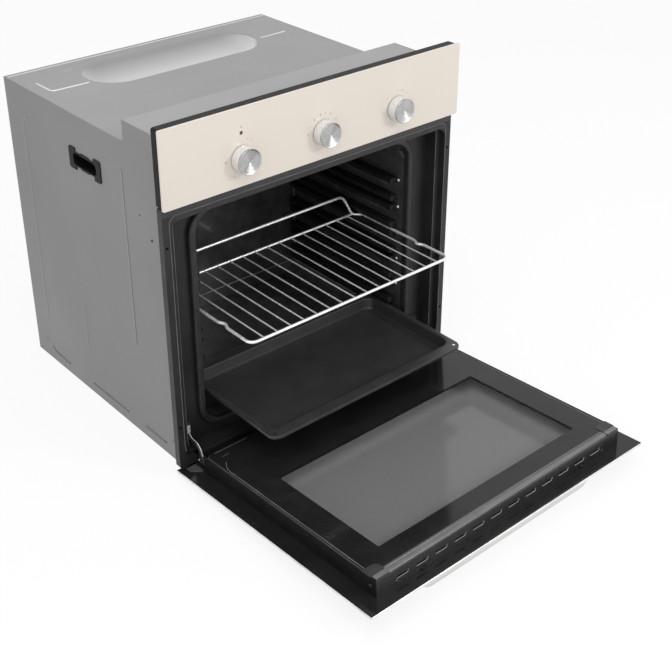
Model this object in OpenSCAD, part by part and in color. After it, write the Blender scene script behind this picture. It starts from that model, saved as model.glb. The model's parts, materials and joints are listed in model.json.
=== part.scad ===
/* [Casing] */
// Width of the sheet steel casing behind the front frame
casing_w = 550; // [530:1:560]
// Depth of the casing behind the front frame
casing_d = 490; // [460:1:540]
// Height of the whole front, from the lower edge of the door to the top of the panel
front_h = 595; // [590:1:600]
// Drop of the raised control box below the top of the control panel
box_drop = 28; // [15:1:34]
// Step from the raised control box down to the top of the casing
box_step = 35; // [25:1:45]
// Depth of the raised control box
box_d = 112; // [90:1:140]
// Thickness of the casing sheet
sheet_t = 1.2; // [0.8:0.1:2]
/* [Top pocket] */
// Length of the dished pocket in the top
pocket_l = 360; // [280:1:420]
// Width of the dished pocket
pocket_w = 115; // [80:1:130]
// Depth of the dished pocket
pocket_depth = 22; // [12:1:40]
// Distance from the rear of the casing to the pocket
pocket_back = 44; // [30:1:80]
/* [Hand grips] */
// Length of a hand grip along the side
grip_l = 96; // [80:1:120]
// Height of the end blocks of a hand grip
grip_h = 38; // [32:1:50]
// Height of a hand grip between its end blocks
grip_mid_h = 28; // [24:1:32]
// Length of each end block
grip_end_l = 20; // [14:1:24]
// Depth of the hollow of a hand grip
grip_depth = 22; // [14:1:26]
// Wall of a hand grip
grip_t = 1.8; // [1.2:0.1:2.5]
// Distance from the front frame to the middle of a hand grip
grip_y = 235; // [200:1:300]
// Height of the middle of a hand grip
grip_z = 463; // [420:1:490]
/* [Front frame] */
// Overhang of the front frame past each side of the casing
frame_over = 20; // [18:0.5:22]
// Height of the lower edge of the front frame above the base
frame_z0 = 17; // [15:1:19]
// Width of the rim of the front frame
rim_w = 12; // [10:0.5:14]
// Depth of the rim in front of the casing
rim_d = 12; // [10:0.5:14]
// Distance from the front of the casing back to the sealing face
recess_d = 22; // [20:0.5:26]
// Thickness of the frame sheet
frame_t = 1.5; // [1:0.1:2]
// Height of the plain band above the door recess
band_h = 24; // [20:1:26]
// Corner radius of the door recess
recess_r = 20; // [14:1:22]
// Diameter of the fixing screw holes in the rim
fix_hole_d = 5; // [4:0.1:6]
// Height of the lower fixing screw holes
fix_z_low = 95; // [60:1:140]
// Height of the upper fixing screw holes
fix_z_high = 415; // [360:1:430]
/* [Cavity] */
// Room between each side of the casing and the cavity
cavity_side = 55; // [53:0.5:62]
// Height of the sealing face below the cavity opening
seal_low = 31; // [30:0.5:36]
// Height of the sealing face above the cavity opening
seal_high = 18.5; // [17.5:0.5:24]
// Depth of the cavity behind the sealing face
cavity_d = 305; // [290:1:340]
// Corner radius of the cavity
cavity_r = 34; // [24:1:42]
// Wall of the cavity
cavity_t = 1.2; // [0.8:0.1:1.5]
// Number of shelf levels
level_n = 6; // [5:1:6]
// Height of the lowest shelf rib above the cavity floor
level_z0 = 40; // [38:0.5:44]
// Distance from the highest shelf rib to the cavity roof
level_high = 78.5; // [70:0.5:84]
// Height of one pressed shelf rib
rib_h = 10; // [8:0.5:11]
// Groove between the two ribs of a level
groove_h = 8; // [7.4:0.1:9]
// Reach of a shelf rib into the cavity
rib_in = 17; // [14:0.5:18]
/* [Seal and insulation] */
// Width of the door gasket
gasket_w = 12; // [9:0.5:13]
// Gap between the closed door and the gasket
gasket_gap = 0.4; // [0.3:0.1:1]
// Thickness of the mineral wool round the cavity
wool_t = 20; // [14:1:22]
// Room under the cavity floor for the lower element
under_room = 15; // [12:1:17]
/* [Elements and lamp] */
// Distance from the sealing face to the front of the elements
element_front = 45; // [30:1:60]
// Distance from the rear wall of the cavity to the elements' rear bend
element_back = 40; // [30:1:60]
// Reach of the element ends behind the insulation
element_tail = 14; // [8:1:20]
// Diameter of the heating element tubes
element_d = 6.5; // [5:0.1:8]
// Distance between neighbouring runs of an element
element_pitch = 100; // [80:1:110]
// Drop of the grill element below the cavity roof
grill_drop = 16; // [12:1:24]
// Sideways place of the oven lamp
lamp_x = -150; // [-160:1:-120]
// Drop of the oven lamp below the cavity roof
lamp_drop = 62; // [58:1:90]
// Diameter of the lamp holder
lamp_d = 44; // [38:1:48]
// Length of the lamp holder behind the cavity
lamp_l = 42; // [38:1:50]
/* [Control panel] */
// Overhang of the panel glass and door glass past each side of the front frame
glass_over = 2.5; // [1:0.5:4]
// Height of the control panel glass
panel_h = 124; // [118:1:130]
// Thickness of the control panel glass and the outer door glass
glass_t = 4; // [3:0.5:5]
// Depth of the black fascia behind the panel glass
fascia_d = 18; // [16:0.5:20]
// Wall of the fascia
fascia_t = 2; // [1.5:0.5:3]
/* [Knobs] */
// Distance between the knobs
knob_pitch = 156; // [120:1:180]
// Height of the knobs above the lower edge of the panel
knob_up = 45; // [36:1:56]
// Diameter of a knob
knob_d = 41; // [34:1:48]
// Length of a knob
knob_l = 20; // [16:1:26]
// Gap between a knob and the panel glass
knob_gap = 0.8; // [0.5:0.1:0.9]
// Diameter of a knob shaft
shaft_d = 6; // [5:0.5:8]
// Running clearance of a shaft, on the radius
run_gap = 0.05; // [0.03:0.01:0.1]
// Diameter of the pilot lamp
pilot_d = 5; // [4:0.5:8]
// Height of the pilot lamp above its knob
pilot_up = 40; // [32:1:50]
/* [Door] */
// Height of the lower edge of the closed door above the base
door_z0 = 8; // [7:0.5:9]
// Gap between the closed door and the control panel
door_gap = 3; // [2:0.5:4]
// Distance from each side edge of the glass to the inner box
door_box_side = 31.5; // [30:0.5:34]
// Distance from the lower edge of the glass to the inner box
door_box_low = 36; // [35:0.5:38]
// Distance from the upper edge of the glass to the inner box
door_box_high = 26; // [24:0.5:30]
// Depth of the inner box of the door
door_box_d = 30; // [28:0.5:31]
// Wall of the door's side profiles and rails
door_wall = 2; // [1.5:0.1:2.5]
// Height of the slotted rail at the top of the door
rail_h = 24; // [20:1:30]
// Thickness of the inner door glass
inner_glass_t = 4; // [3:0.5:5]
// Height of the bottom rail of the door
low_rail_h = 20; // [16:1:26]
// Number of air slots in the top rail
slot_n = 12; // [8:1:12]
// Distance between the air slots
slot_pitch = 38; // [36:0.5:40]
// Length of an air slot
slot_l = 25; // [18:1:28]
// Width of an air slot
slot_w = 3; // [2:0.5:5]
// Angle from the open door to the closed door
open_angle = 86.5; // [84:0.5:88]
/* [Hinges] */
// Height of the hinge pins above the base
hinge_z = 17.5; // [17:0.5:18]
// Distance of the hinge pins in front of the casing
hinge_y = 12; // [11.5:0.5:12.5]
// Diameter of a hinge pin
pin_d = 5; // [4:0.5:6]
// Diameter of the hinge eyes
eye_d = 9.4; // [8:0.2:10]
// Thickness of the hinge plates
leaf_t = 3; // [2.5:0.5:3.5]
// Distance from each side edge of the door glass to a hinge
hinge_in = 41.5; // [40.5:0.5:44]
/* [Handle] */
// Length of the handle
handle_l = 376; // [300:1:440]
// Height of the handle bar
handle_h = 20; // [16:1:24]
// Thickness of the handle bar
handle_t = 9; // [6:0.5:12]
// Reach of the handle in front of the glass
handle_reach = 29.5; // [25:0.5:31]
// Distance from the upper edge of the glass to the handle's middle
handle_drop = 28; // [24:1:44]
// Outer bend radius of the handle
handle_bend = 24; // [20:1:28]
// Thickness of the handle's ends where they meet the glass
handle_foot = 20; // [16:1:26]
// Diameter of the heads of the handle bolts
bolt_head_d = 9; // [8:0.5:10]
/* [Wire rack] */
// Gap between the rack and the cavity wall on each side
rack_side = 6.5; // [5:0.5:9]
// Depth of the rack
rack_d = 247; // [230:1:260]
// Reach of the pulled out rack in front of the casing
rack_out = 104; // [80:1:108]
// Diameter of the rack's frame wire
rack_wire = 5; // [4:0.5:6.5]
// Diameter of the rack's thin wires
rack_thin = 2.6; // [2:0.1:4]
// Number of thin wires
rack_n = 15; // [8:1:18]
// Height of the raised rear bow
bow_h = 37; // [25:1:42]
// Distance from the front of the rack to the stop kinks
kink_d = 68; // [50:1:90]
// Shelf level of the rack
rack_level = 3; // [2:1:4]
/* [Baking tray] */
// Gap between the tray and the cavity wall on each side
tray_side = 12; // [8:0.5:14]
// Depth of the tray from rim to rim
tray_d = 252; // [230:1:260]
// Reach of the pulled out tray in front of the casing
tray_out = 148; // [130:1:150]
// Depth of the tray's hollow
tray_deep = 23; // [16:1:26]
// Width of the tray's flat rim
tray_rim = 20; // [14:0.5:24]
// Sheet of the tray
tray_t = 1.2; // [0.8:0.1:1.5]
/* [Supply cable inlet] */
// Sideways place of the cable inlet in the rear panel
inlet_x = 190; // [120:1:210]
// Height of the cable inlet
inlet_z = 120; // [60:1:180]
// Width of the terminal box
terminal_w = 70; // [56:1:84]
// Height of the terminal box
terminal_h = 50; // [40:1:60]
// Depth of the terminal box
terminal_d = 32; // [26:1:40]
// Bore of the cable gland
gland_bore = 8; // [7:0.5:10]
/* [Hidden] */
$fn = 48;
front_y = -casing_d / 2;
eps = 0.01;
seat = 0.3;
seam = 0.5;
inner_x = casing_w / 2 - sheet_t;
frame_w = casing_w + 2 * frame_over;
panel_w = frame_w + 2 * glass_over;
door_w = panel_w;
door_h = front_h - panel_h - door_gap;
panel_z0 = door_z0 + door_h + door_gap;
panel_top = panel_z0 + panel_h;
box_h = panel_top - box_drop;
casing_h = box_h - box_step;
frame_top = panel_z0 - seam;
recess_z0 = frame_z0 + rim_w;
recess_top = frame_top - band_h;
rim_in = frame_w / 2 - rim_w;
wall_x = inner_x - 1.4;
wall_r = recess_r - (rim_in - wall_x);
plate_y1 = recess_d + frame_t;
cavity_w = casing_w - 2 * cavity_side;
cavity_z0 = recess_z0 + seal_low;
cavity_h = recess_top - seal_high - cavity_z0;
level_pitch = (cavity_h - level_z0 - level_high) / (level_n - 1);
cavity_y0 = plate_y1;
cavity_y1 = cavity_y0 + cavity_d;
cavity_top = cavity_z0 + cavity_h;
rib_x = cavity_w / 2 - rib_in;
rib_y0 = cavity_y0 + 13.5;
rib_y1 = cavity_y1 - 8;
gasket_y0 = -fascia_d + door_box_d + gasket_gap;
gasket_off = 2;
glass_y0 = -fascia_d - glass_t;
knob_z = panel_z0 + knob_up;
knob_y1 = glass_y0 - knob_gap;
door_top = door_z0 + door_h;
box_z0 = door_z0 + door_box_low;
box_z1 = door_top - door_box_high;
box_x = door_w / 2 - door_box_side;
box_y1 = -fascia_d + door_box_d;
handle_z = door_top - handle_drop;
bolt_x = handle_l / 2 - 12;
fix_x = frame_w / 2 - rim_w / 2;
hinge_x = door_w / 2 - hinge_in;
eye_gap = 0.3;
ear_x = hinge_x - leaf_t - eye_gap / 2;
leaf_x = hinge_x + eye_gap / 2;
notch_gap = 3;
bracket_z1 = recess_z0 + 43;
element_r = element_d / 2;
grill_z = cavity_top - grill_drop;
lower_z = cavity_z0 - cavity_t - seat - element_r;
element_y0 = cavity_y0 + element_front;
element_y1 = cavity_y1 - element_back;
wool_y1 = cavity_y1 + cavity_t + wool_t;
lamp_z = cavity_top - lamp_drop;
lamp_r = lamp_d / 2;
back_y = cavity_y1 + cavity_t;
switch_s = 44;
switch_l = 30;
shaft_in = 18;
rack_w = cavity_w - 2 * rack_side;
tray_w = cavity_w - 2 * tray_side;
rack_r = rack_wire / 2;
rack_x = rack_w / 2 - rack_r;
rack_bend = 12;
rack_z = cavity_z0 + level_z0 + rack_level * level_pitch + rib_h / 2 + seat + rack_r;
rack_y0 = -rack_out + rack_r;
rack_y1 = -rack_out + rack_d - rack_r;
bow_x = rib_x - rack_r - 3.5;
bow_top_x = bow_x - 12;
tray_z = cavity_z0 + level_z0 + rib_h / 2 + seat;
tray_lip = 4.9;
tray_y0 = -tray_out;
tray_y1 = -tray_out + tray_d;
grip_hole_l = grip_l - 8;
grip_hole_h = grip_mid_h - 6;
grip_proud = 1.6;
steel = [0.56, 0.56, 0.56];
bright = [0.8, 0.8, 0.82];
black = [0.11, 0.11, 0.11];
enamel = [0.13, 0.13, 0.13];
cream = [0.89, 0.86, 0.81];
silver = [0.86, 0.86, 0.84];
white = [0.93, 0.92, 0.9];
function arc(cx, cy, r, a0, a1, n) =
    [for (i = [0:n]) let (a = a0 + (a1 - a0) * i / n) [cx + r * cos(a), cy + r * sin(a)]];
function round_box(x0, y0, x1, y1, r, n = 6) = concat(
    arc(x1 - r, y1 - r, r, 0, 90, n), arc(x0 + r, y1 - r, r, 90, 180, n),
    arc(x0 + r, y0 + r, r, 180, 270, n), arc(x1 - r, y0 + r, r, 270, 360, n));
// Everything is drawn with Y = 0 at the front of the casing, then moved so that
// the origin is the middle of the base
module at_front() {
    translate([0, front_y, 0]) children();
}
// Turns a closed door piece down to the open rest pose
module door_pose() {
    at_front() translate([0, -hinge_y, hinge_z]) rotate([open_angle, 0, 0])
        translate([0, hinge_y, -hinge_z]) children();
}
// Plate with its outline in X and Z, from y0 to y1
module plate_y(y0, y1) {
    translate([0, y1, 0]) rotate([90, 0, 0]) linear_extrude(y1 - y0) children();
}
// Plate with its outline in Y and Z, from x0 to x1
module plate_x(x0, x1) {
    translate([x0, 0, 0]) rotate([90, 0, 90]) linear_extrude(x1 - x0) children();
}
// Plate with its outline in X and Y, from z0 to z1
module plate_z(z0, z1) {
    translate([0, 0, z0]) linear_extrude(z1 - z0) children();
}
module block(x0, x1, y0, y1, z0, z1) {
    translate([x0, y0, z0]) cube([x1 - x0, y1 - y0, z1 - z0]);
}
module rod_x(x0, x1, y, z, r) {
    translate([x0, y, z]) rotate([0, 90, 0]) cylinder(h = x1 - x0, r = r);
}
module rod_y(y0, y1, x, z, r) {
    translate([x, y1, z]) rotate([90, 0, 0]) cylinder(h = y1 - y0, r = r);
}
// Round wire between two points
module wire(a, b, r) {
    d = b - a;
    l = norm(d);
    translate(a) rotate([0, acos(d[2] / l), atan2(d[1], d[0])]) cylinder(h = l, r = r);
}
module knuckle(p, r) {
    translate(p) sphere(r = r * 1.03, $fn = 24);
}
module side(x) {
    if (x < 0) children();
    else mirror([1, 0, 0]) children();
}
module side_panel() {
    difference() {
        union() {
            plate_x(-casing_w / 2, -inner_x) polygon([[0, 0], [casing_d, 0],
                [casing_d, casing_h], [box_d, casing_h], [box_d, box_h], [0, box_h]]);
            block(-casing_w / 2 - 0.6, -inner_x - eps, box_d + 12, box_d + 15,
                casing_h / 3, casing_h - 50);
        }
        block(-casing_w, 0, grip_y - grip_hole_l / 2, grip_y + grip_hole_l / 2,
            grip_z - grip_hole_h / 2, grip_z + grip_hole_h / 2);
        rod_x(-casing_w, 0, 82, casing_h - 110, 1.8);
        rod_x(-casing_w, 0, 36, 37, 1.8);
        rod_x(-casing_w, 0, casing_d - 36, 37, 1.8);
    }
}
module side_panel_left() {
    color(steel) at_front() side_panel();
}
module side_panel_right() {
    color(steel) at_front() side(1) side_panel();
}
module pocket_outline(grow) {
    y1 = casing_d - pocket_back;
    polygon(round_box(-pocket_l / 2 - grow, y1 - pocket_w - grow, pocket_l / 2 + grow,
        y1 + grow, pocket_w / 2 + grow - eps, 12));
}
module top_cover() {
    color(bright) at_front() difference() {
        union() {
            block(-inner_x, inner_x, box_d, casing_d - sheet_t, casing_h - sheet_t, casing_h);
            plate_z(casing_h - pocket_depth - sheet_t, casing_h - eps) pocket_outline(sheet_t);
        }
        plate_z(casing_h - pocket_depth, casing_h + 1) pocket_outline(0);
    }
}
module control_box_cover() {
    color(bright) at_front() {
        block(-inner_x, inner_x, 0, box_d, box_h - sheet_t, box_h);
        block(-inner_x, inner_x, box_d - sheet_t, box_d, casing_h - sheet_t - 12, box_h - eps);
    }
}
module rear_panel() {
    color(steel) at_front() difference() {
        block(-inner_x, inner_x, casing_d - sheet_t, casing_d, sheet_t, casing_h);
        for (i = [-5:5], z = [0, 1])
            block(i * 30 - 10, i * 30 + 10, casing_d - 5, casing_d + 5,
                casing_h - 60 - z * 22, casing_h - 54 - z * 22);
        rod_y(casing_d - 5, casing_d + 5, inlet_x, inlet_z, gland_bore + seat);
        for (x = [-1, 1], z = [40, casing_h - 40])
            rod_y(casing_d - 5, casing_d + 5, x * (inner_x - 18), z, 1.8);
    }
}
module base_plate() {
    color(steel) at_front() difference() {
        block(-inner_x, inner_x, 0, casing_d - sheet_t, 0, sheet_t);
        for (i = [-4:4])
            block(i * 50 - 15, i * 50 + 15, 60, 66, -1, sheet_t + 1);
    }
}
module frame_outline(x, z0, z1, r) {
    polygon(round_box(-x, z0, x, z1, r));
}
module front_frame() {
    color(black) at_front() difference() {
        union() {
            plate_y(-rim_d, 0) difference() {
                frame_outline(frame_w / 2, frame_z0, frame_top, 4);
                frame_outline(rim_in, recess_z0, recess_top, recess_r);
            }
            plate_y(-frame_t, 0) difference() {
                frame_outline(rim_in + frame_t, recess_z0 - eps, recess_top + eps, recess_r);
                frame_outline(wall_x - frame_t, recess_z0 + frame_t, recess_top - frame_t,
                    wall_r - frame_t);
            }
            plate_y(-frame_t, recess_d + eps) difference() {
                frame_outline(wall_x, recess_z0, recess_top, wall_r);
                frame_outline(wall_x - frame_t, recess_z0 + frame_t, recess_top - frame_t,
                    wall_r - frame_t);
            }
            plate_y(recess_d, plate_y1) difference() {
                frame_outline(wall_x, recess_z0, recess_top, wall_r);
                frame_outline(cavity_w / 2, cavity_z0, cavity_top, cavity_r);
            }
        }
        plate_y(-rim_d + frame_t, -frame_t) difference() {
            frame_outline(frame_w / 2 - frame_t, frame_z0 + frame_t, frame_top - frame_t, 3);
            frame_outline(rim_in + frame_t, recess_z0 - frame_t, recess_top + frame_t,
                recess_r + frame_t);
        }
        plate_y(-frame_t - eps, eps) difference() {
            frame_outline(frame_w / 2 - frame_t, frame_z0 + frame_t, frame_top - frame_t, 3);
            frame_outline(frame_w / 2 - frame_t - 4, frame_z0 - 5, frame_top + 5, 3);
        }
        for (x = [-1, 1]) {
            for (z = [fix_z_low, fix_z_high])
                rod_y(-rim_d - 1, 1, x * fix_x, z, fix_hole_d / 2);
            block(x > 0 ? ear_x - notch_gap : -leaf_x - leaf_t - notch_gap,
                x > 0 ? leaf_x + leaf_t + notch_gap : -ear_x + notch_gap,
                -rim_d - 1, eps, frame_z0 - 1, recess_z0 + frame_t + eps);
            rod_y(recess_d - 1, plate_y1 + 1, x * 246, 80, 2);
        }
    }
}
module door_gasket() {
    color(black) at_front() plate_y(gasket_y0, recess_d) difference() {
        frame_outline(cavity_w / 2 + gasket_off + gasket_w, cavity_z0 - gasket_off - gasket_w,
            cavity_top + gasket_off + gasket_w, cavity_r + gasket_off + gasket_w);
        frame_outline(cavity_w / 2 + gasket_off, cavity_z0 - gasket_off,
            cavity_top + gasket_off, cavity_r + gasket_off);
    }
}
// Roof or floor of the cavity with its two bends, whose middles are at z
module cavity_bend(z, s) {
    x = cavity_w / 2 - cavity_r;
    r = cavity_r + cavity_t;
    color(enamel) at_front() plate_y(cavity_y0, cavity_y1) polygon(concat(
        arc(-x, z, r, 180, 180 - 90 * s, 6), arc(x, z, r, 90 * s, 0, 6),
        arc(x, z, cavity_r, 0, 90 * s, 6), arc(-x, z, cavity_r, 180 - 90 * s, 180, 6)));
}
module cavity_roof() {
    cavity_bend(cavity_top - cavity_r, 1);
}
module cavity_floor() {
    cavity_bend(cavity_z0 + cavity_r, -1);
}
module cavity_side() {
    block(-cavity_w / 2 - cavity_t, -cavity_w / 2, cavity_y0, cavity_y1,
        cavity_z0 + cavity_r, cavity_top - cavity_r);
}
module cavity_side_left() {
    color(enamel) at_front() cavity_side();
}
module cavity_side_right() {
    color(enamel) at_front() side(1) cavity_side();
}
module rib(z) {
    w = cavity_w / 2;
    plate_y(rib_y0, rib_y1) polygon([[-w, z - rib_h / 2], [-rib_x - 2, z - rib_h / 2],
        [-rib_x, z - rib_h / 2 + 2], [-rib_x, z + rib_h / 2 - 2],
        [-rib_x - 2, z + rib_h / 2], [-w, z + rib_h / 2]]);
}
// Two ribs with a groove between them at each shelf level but the highest
module shelf_ribs() {
    for (i = [0:level_n - 1]) {
        rib(cavity_z0 + level_z0 + i * level_pitch);
        if (i < level_n - 1) rib(cavity_z0 + level_z0 + i * level_pitch + rib_h + groove_h);
    }
}
module shelf_ribs_left() {
    color(enamel) at_front() shelf_ribs();
}
module shelf_ribs_right() {
    color(enamel) at_front() side(1) shelf_ribs();
}
module cavity_back() {
    color(enamel) at_front() difference() {
        plate_y(cavity_y1, back_y) frame_outline(cavity_w / 2 + cavity_t,
            cavity_z0 - cavity_t, cavity_top + cavity_t, cavity_r + cavity_t);
        rod_y(cavity_y1 - 1, back_y + 1, lamp_x, lamp_z, lamp_r);
        for (x = [-1.5, 1.5])
            rod_y(cavity_y1 - 1, back_y + 1, x * element_pitch, grill_z, element_r + 0.5);
        rod_y(cavity_y1 - 1, back_y + 1, 60, cavity_top - 40, 2.5);
    }
}
module insulation() {
    w = cavity_w / 2 + cavity_t + seat;
    color(cream) at_front() difference() {
        plate_y(plate_y1 + seat, wool_y1) frame_outline(w + wool_t,
            cavity_z0 - cavity_t - under_room - wool_t, cavity_top + cavity_t + wool_t, cavity_r);
        plate_y(plate_y1 - 1, back_y + seat) frame_outline(w,
            cavity_z0 - cavity_t - under_room, cavity_top + cavity_t + seat, cavity_r);
        rod_y(back_y, wool_y1 + 1, lamp_x, lamp_z, lamp_r + 9);
        for (x = [-1.5, 1.5], z = [grill_z, lower_z])
            rod_y(back_y, wool_y1 + 1, x * element_pitch, z, element_r + 0.8);
        rod_y(back_y, wool_y1 + 1, 60, cavity_top - 40, 4);
    }
}
// Four runs of tube joined by half rings, with both ends out through the back
module element(z) {
    p = element_pitch;
    y0 = element_y0 + p / 2;
    y1 = element_y1 - p / 2;
    for (x = [-1.5, 1.5]) rod_y(y0, wool_y1 + element_tail, x * p, z, element_r);
    for (x = [-0.5, 0.5]) rod_y(y0, y1, x * p, z, element_r);
    for (x = [-1, 1]) translate([x * p, y0, z]) rotate([0, 0, 180])
        rotate_extrude(angle = 180) translate([p / 2, 0]) circle(r = element_r);
    translate([0, y1, z]) rotate_extrude(angle = 180) translate([p / 2, 0])
        circle(r = element_r);
}
module grill_element() {
    color([0.3, 0.3, 0.3]) at_front() element(grill_z);
}
module lower_element() {
    color([0.3, 0.3, 0.3]) at_front() element(lower_z);
}
module turned_y(x, y, z) {
    translate([x, y, z]) rotate([90, 0, 0]) rotate_extrude() children();
}
module lamp_holder() {
    color(white) at_front() turned_y(lamp_x, back_y + lamp_l, lamp_z) polygon([[0, 0],
        [lamp_r, 0], [lamp_r, lamp_l - 2], [lamp_r + 7, lamp_l - 2], [lamp_r + 7, lamp_l],
        [lamp_r - 4, lamp_l], [lamp_r - 4, 12], [0, 12]]);
}
module lamp_bulb() {
    color(white) at_front() turned_y(lamp_x, back_y + lamp_l - 12, lamp_z)
        polygon(concat([[0, 0], [7, 0], [7, 14]], arc(0, 24, 11, -50, 90, 10)));
}
module lamp_lens() {
    color([0.8, 0.85, 0.85]) at_front() turned_y(lamp_x, cavity_y1, lamp_z) polygon(concat(
        [[lamp_r + 5, 0], [lamp_r + 5, 6]], arc(lamp_r - 8, 12, 8, 0, 90, 5),
        [[0, 20], [0, 17]], arc(lamp_r - 8, 12, 5, 90, 0, 5), [[lamp_r - 3, 0]]));
}
module sensor_bulb() {
    color(bright) at_front() rod_y(cavity_y1 - 90, wool_y1 + 6, 60, cavity_top - 40, 2);
}
// Body of a switch, thermostat or timer with its bore for the knob shaft
module switch_body(x, l) {
    at_front() difference() {
        union() {
            block(x - switch_s / 2, x + switch_s / 2, -fascia_d + fascia_t + 2,
                -fascia_d + fascia_t + l, knob_z - switch_s / 2, knob_z + switch_s / 2);
            rod_y(-fascia_d + fascia_t, -fascia_d + fascia_t + 3, x, knob_z, shaft_d);
        }
        rod_y(-fascia_d, -fascia_d + fascia_t + shaft_in + seat, x, knob_z,
            shaft_d / 2 + run_gap);
    }
}
module thermostat() {
    color(bright) switch_body(-knob_pitch, switch_l);
}
module function_switch() {
    color(white) switch_body(0, switch_l + 8);
}
module timer_unit() {
    color(white) switch_body(knob_pitch, switch_l + 14);
}
module terminal_box() {
    y1 = casing_d - sheet_t;
    color(black) at_front() difference() {
        translate([inlet_x, y1 - terminal_d / 2, inlet_z])
            cube([terminal_w, terminal_d, terminal_h], center = true);
        translate([inlet_x, y1 - terminal_d / 2, inlet_z])
            cube([terminal_w - 6, terminal_d - 6, terminal_h - 6], center = true);
        rod_y(y1 - 4, casing_d, inlet_x, inlet_z, gland_bore + seat);
    }
}
module cable_gland() {
    y = casing_d;
    color(black) at_front() difference() {
        union() {
            rod_y(y - sheet_t - 6, y + 4, inlet_x, inlet_z, gland_bore);
            rod_y(y, y + 4, inlet_x, inlet_z, gland_bore + 4);
        }
        rod_y(y - 20, y + 20, inlet_x, inlet_z, gland_bore / 2);
    }
}
module panel_bores(r) {
    for (x = [-1, 0, 1])
        rod_y(glass_y0 - 1, eps, x * knob_pitch, knob_z, r);
}
module fascia_support() {
    x = frame_w / 2;
    color(black) at_front() difference() {
        plate_y(-fascia_d, 0) polygon(round_box(-x, panel_z0, x, panel_top - 1, 4));
        plate_y(-fascia_d + fascia_t, 1) polygon(round_box(-x + fascia_t, panel_z0 + fascia_t,
            x - fascia_t, panel_top - 1 - fascia_t, 3));
        panel_bores(shaft_d / 2 + 1);
        rod_y(-fascia_d - 1, eps, -knob_pitch, knob_z + pilot_up, pilot_d / 2 + seat);
    }
}
module control_panel_glass() {
    color(cream) at_front() difference() {
        plate_y(glass_y0, -fascia_d)
            polygon(round_box(-panel_w / 2, panel_z0, panel_w / 2, panel_top, 2));
        panel_bores(shaft_d / 2 + 1.5);
        rod_y(glass_y0 - 1, eps, -knob_pitch, knob_z + pilot_up, pilot_d / 2 + seat);
    }
}
module pilot_lamp() {
    color([0.25, 0.08, 0.06]) at_front() {
        rod_y(glass_y0, -fascia_d + fascia_t + eps, -knob_pitch, knob_z + pilot_up, pilot_d / 2);
        rod_y(-fascia_d + fascia_t, -fascia_d + fascia_t + 10, -knob_pitch,
            knob_z + pilot_up, pilot_d / 2 + 2);
    }
}
// Knob turned about its shaft, with a pointer notch in its rim
module knob(x) {
    r = knob_d / 2;
    at_front() difference() {
        turned_y(x, knob_y1, knob_z) polygon([[shaft_d / 2 + run_gap, 0], [r - 0.6, 0], [r, 0.8],
            [r, knob_l - 3], [r - 0.7, knob_l - 2.2], [r - 0.7, knob_l - 1.4],
            [r - 0.2, knob_l - 1.2], [r - 0.4, knob_l], [r - 3, knob_l - 0.4],
            [0, knob_l - 0.4], [0, knob_l - 4], [shaft_d / 2 + run_gap, knob_l - 4]]);
        block(x - 0.7, x + 0.7, knob_y1 - knob_l - 1, knob_y1 - knob_l + 5,
            knob_z + r - 3.5, knob_z + r + 1);
    }
}
module shaft(x) {
    color(bright) at_front() rod_y(knob_y1 - knob_l + 4.5, -fascia_d + fascia_t + shaft_in,
        x, knob_z, shaft_d / 2);
}
module temperature_knob() {
    color(silver) knob(-knob_pitch);
}
module function_knob() {
    color(silver) knob(0);
}
module timer_knob() {
    color(silver) knob(knob_pitch);
}
module temperature_shaft() {
    shaft(-knob_pitch);
}
module function_shaft() {
    shaft(0);
}
module timer_shaft() {
    shaft(knob_pitch);
}
module hand_grip() {
    x = -casing_w / 2;
    l = grip_hole_l / 2 - seat;
    h = grip_hole_h / 2 - seat;
    difference() {
        union() {
            plate_x(x - grip_proud, x) {
                for (e = [-1, 1]) translate([grip_y + e * (grip_l - grip_end_l) / 2, grip_z])
                    square([grip_end_l, grip_h], center = true);
                translate([grip_y, grip_z])
                    square([grip_l - grip_end_l, grip_mid_h], center = true);
            }
            block(x - eps, x + grip_depth, grip_y - l, grip_y + l, grip_z - h, grip_z + h);
        }
        block(x - grip_proud - 1, x + grip_depth - grip_t, grip_y - l + grip_t,
            grip_y + l - grip_t, grip_z - h + grip_t, grip_z + h - grip_t);
    }
}
module hand_grip_left() {
    color(black) at_front() hand_grip();
}
module hand_grip_right() {
    color(black) at_front() side(1) hand_grip();
}
module casing_screws() {
    color(bright) at_front() {
        for (s = [-1, 1], y = [36, casing_d - 36]) side(s) {
            rod_x(-casing_w / 2 - 1.6, -casing_w / 2, y, 37, 3.4);
            rod_x(-casing_w / 2 - eps, -casing_w / 2 + 6, y, 37, 1.7);
        }
        for (x = [-1, 1], z = [40, casing_h - 40]) {
            rod_y(casing_d, casing_d + 1.6, x * (inner_x - 18), z, 3.4);
            rod_y(casing_d - 6, casing_d + eps, x * (inner_x - 18), z, 1.7);
        }
    }
}
// Curved plate on the frame that carries the hinge pin
module hinge_bracket() {
    y = -hinge_y;
    plate_y(recess_d - 1.5, recess_d) polygon(round_box(-leaf_x - leaf_t - 2, recess_z0 + 6,
        -ear_x + 2, bracket_z1, 1.5));
    difference() {
        union() {
            plate_x(-ear_x - leaf_t, -ear_x) polygon([[recess_d - eps, hinge_z + 14],
                [recess_d - eps, hinge_z + 24], [y + 12, hinge_z + 24], [y + 3, hinge_z + 18],
                [y - 3.5, hinge_z + 3], [y - 3, hinge_z - 1], [y + 3, hinge_z - 3],
                [y + 6, hinge_z + 6], [y + 11, hinge_z + 14]]);
            rod_x(-ear_x - leaf_t, -ear_x, y, hinge_z, eye_d / 2);
        }
        rod_x(-casing_w, 0, y, hinge_z, pin_d / 2);
    }
}
module hinge_bracket_left() {
    color(bright) at_front() hinge_bracket();
}
module hinge_bracket_right() {
    color(bright) at_front() side(1) hinge_bracket();
}
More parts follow.
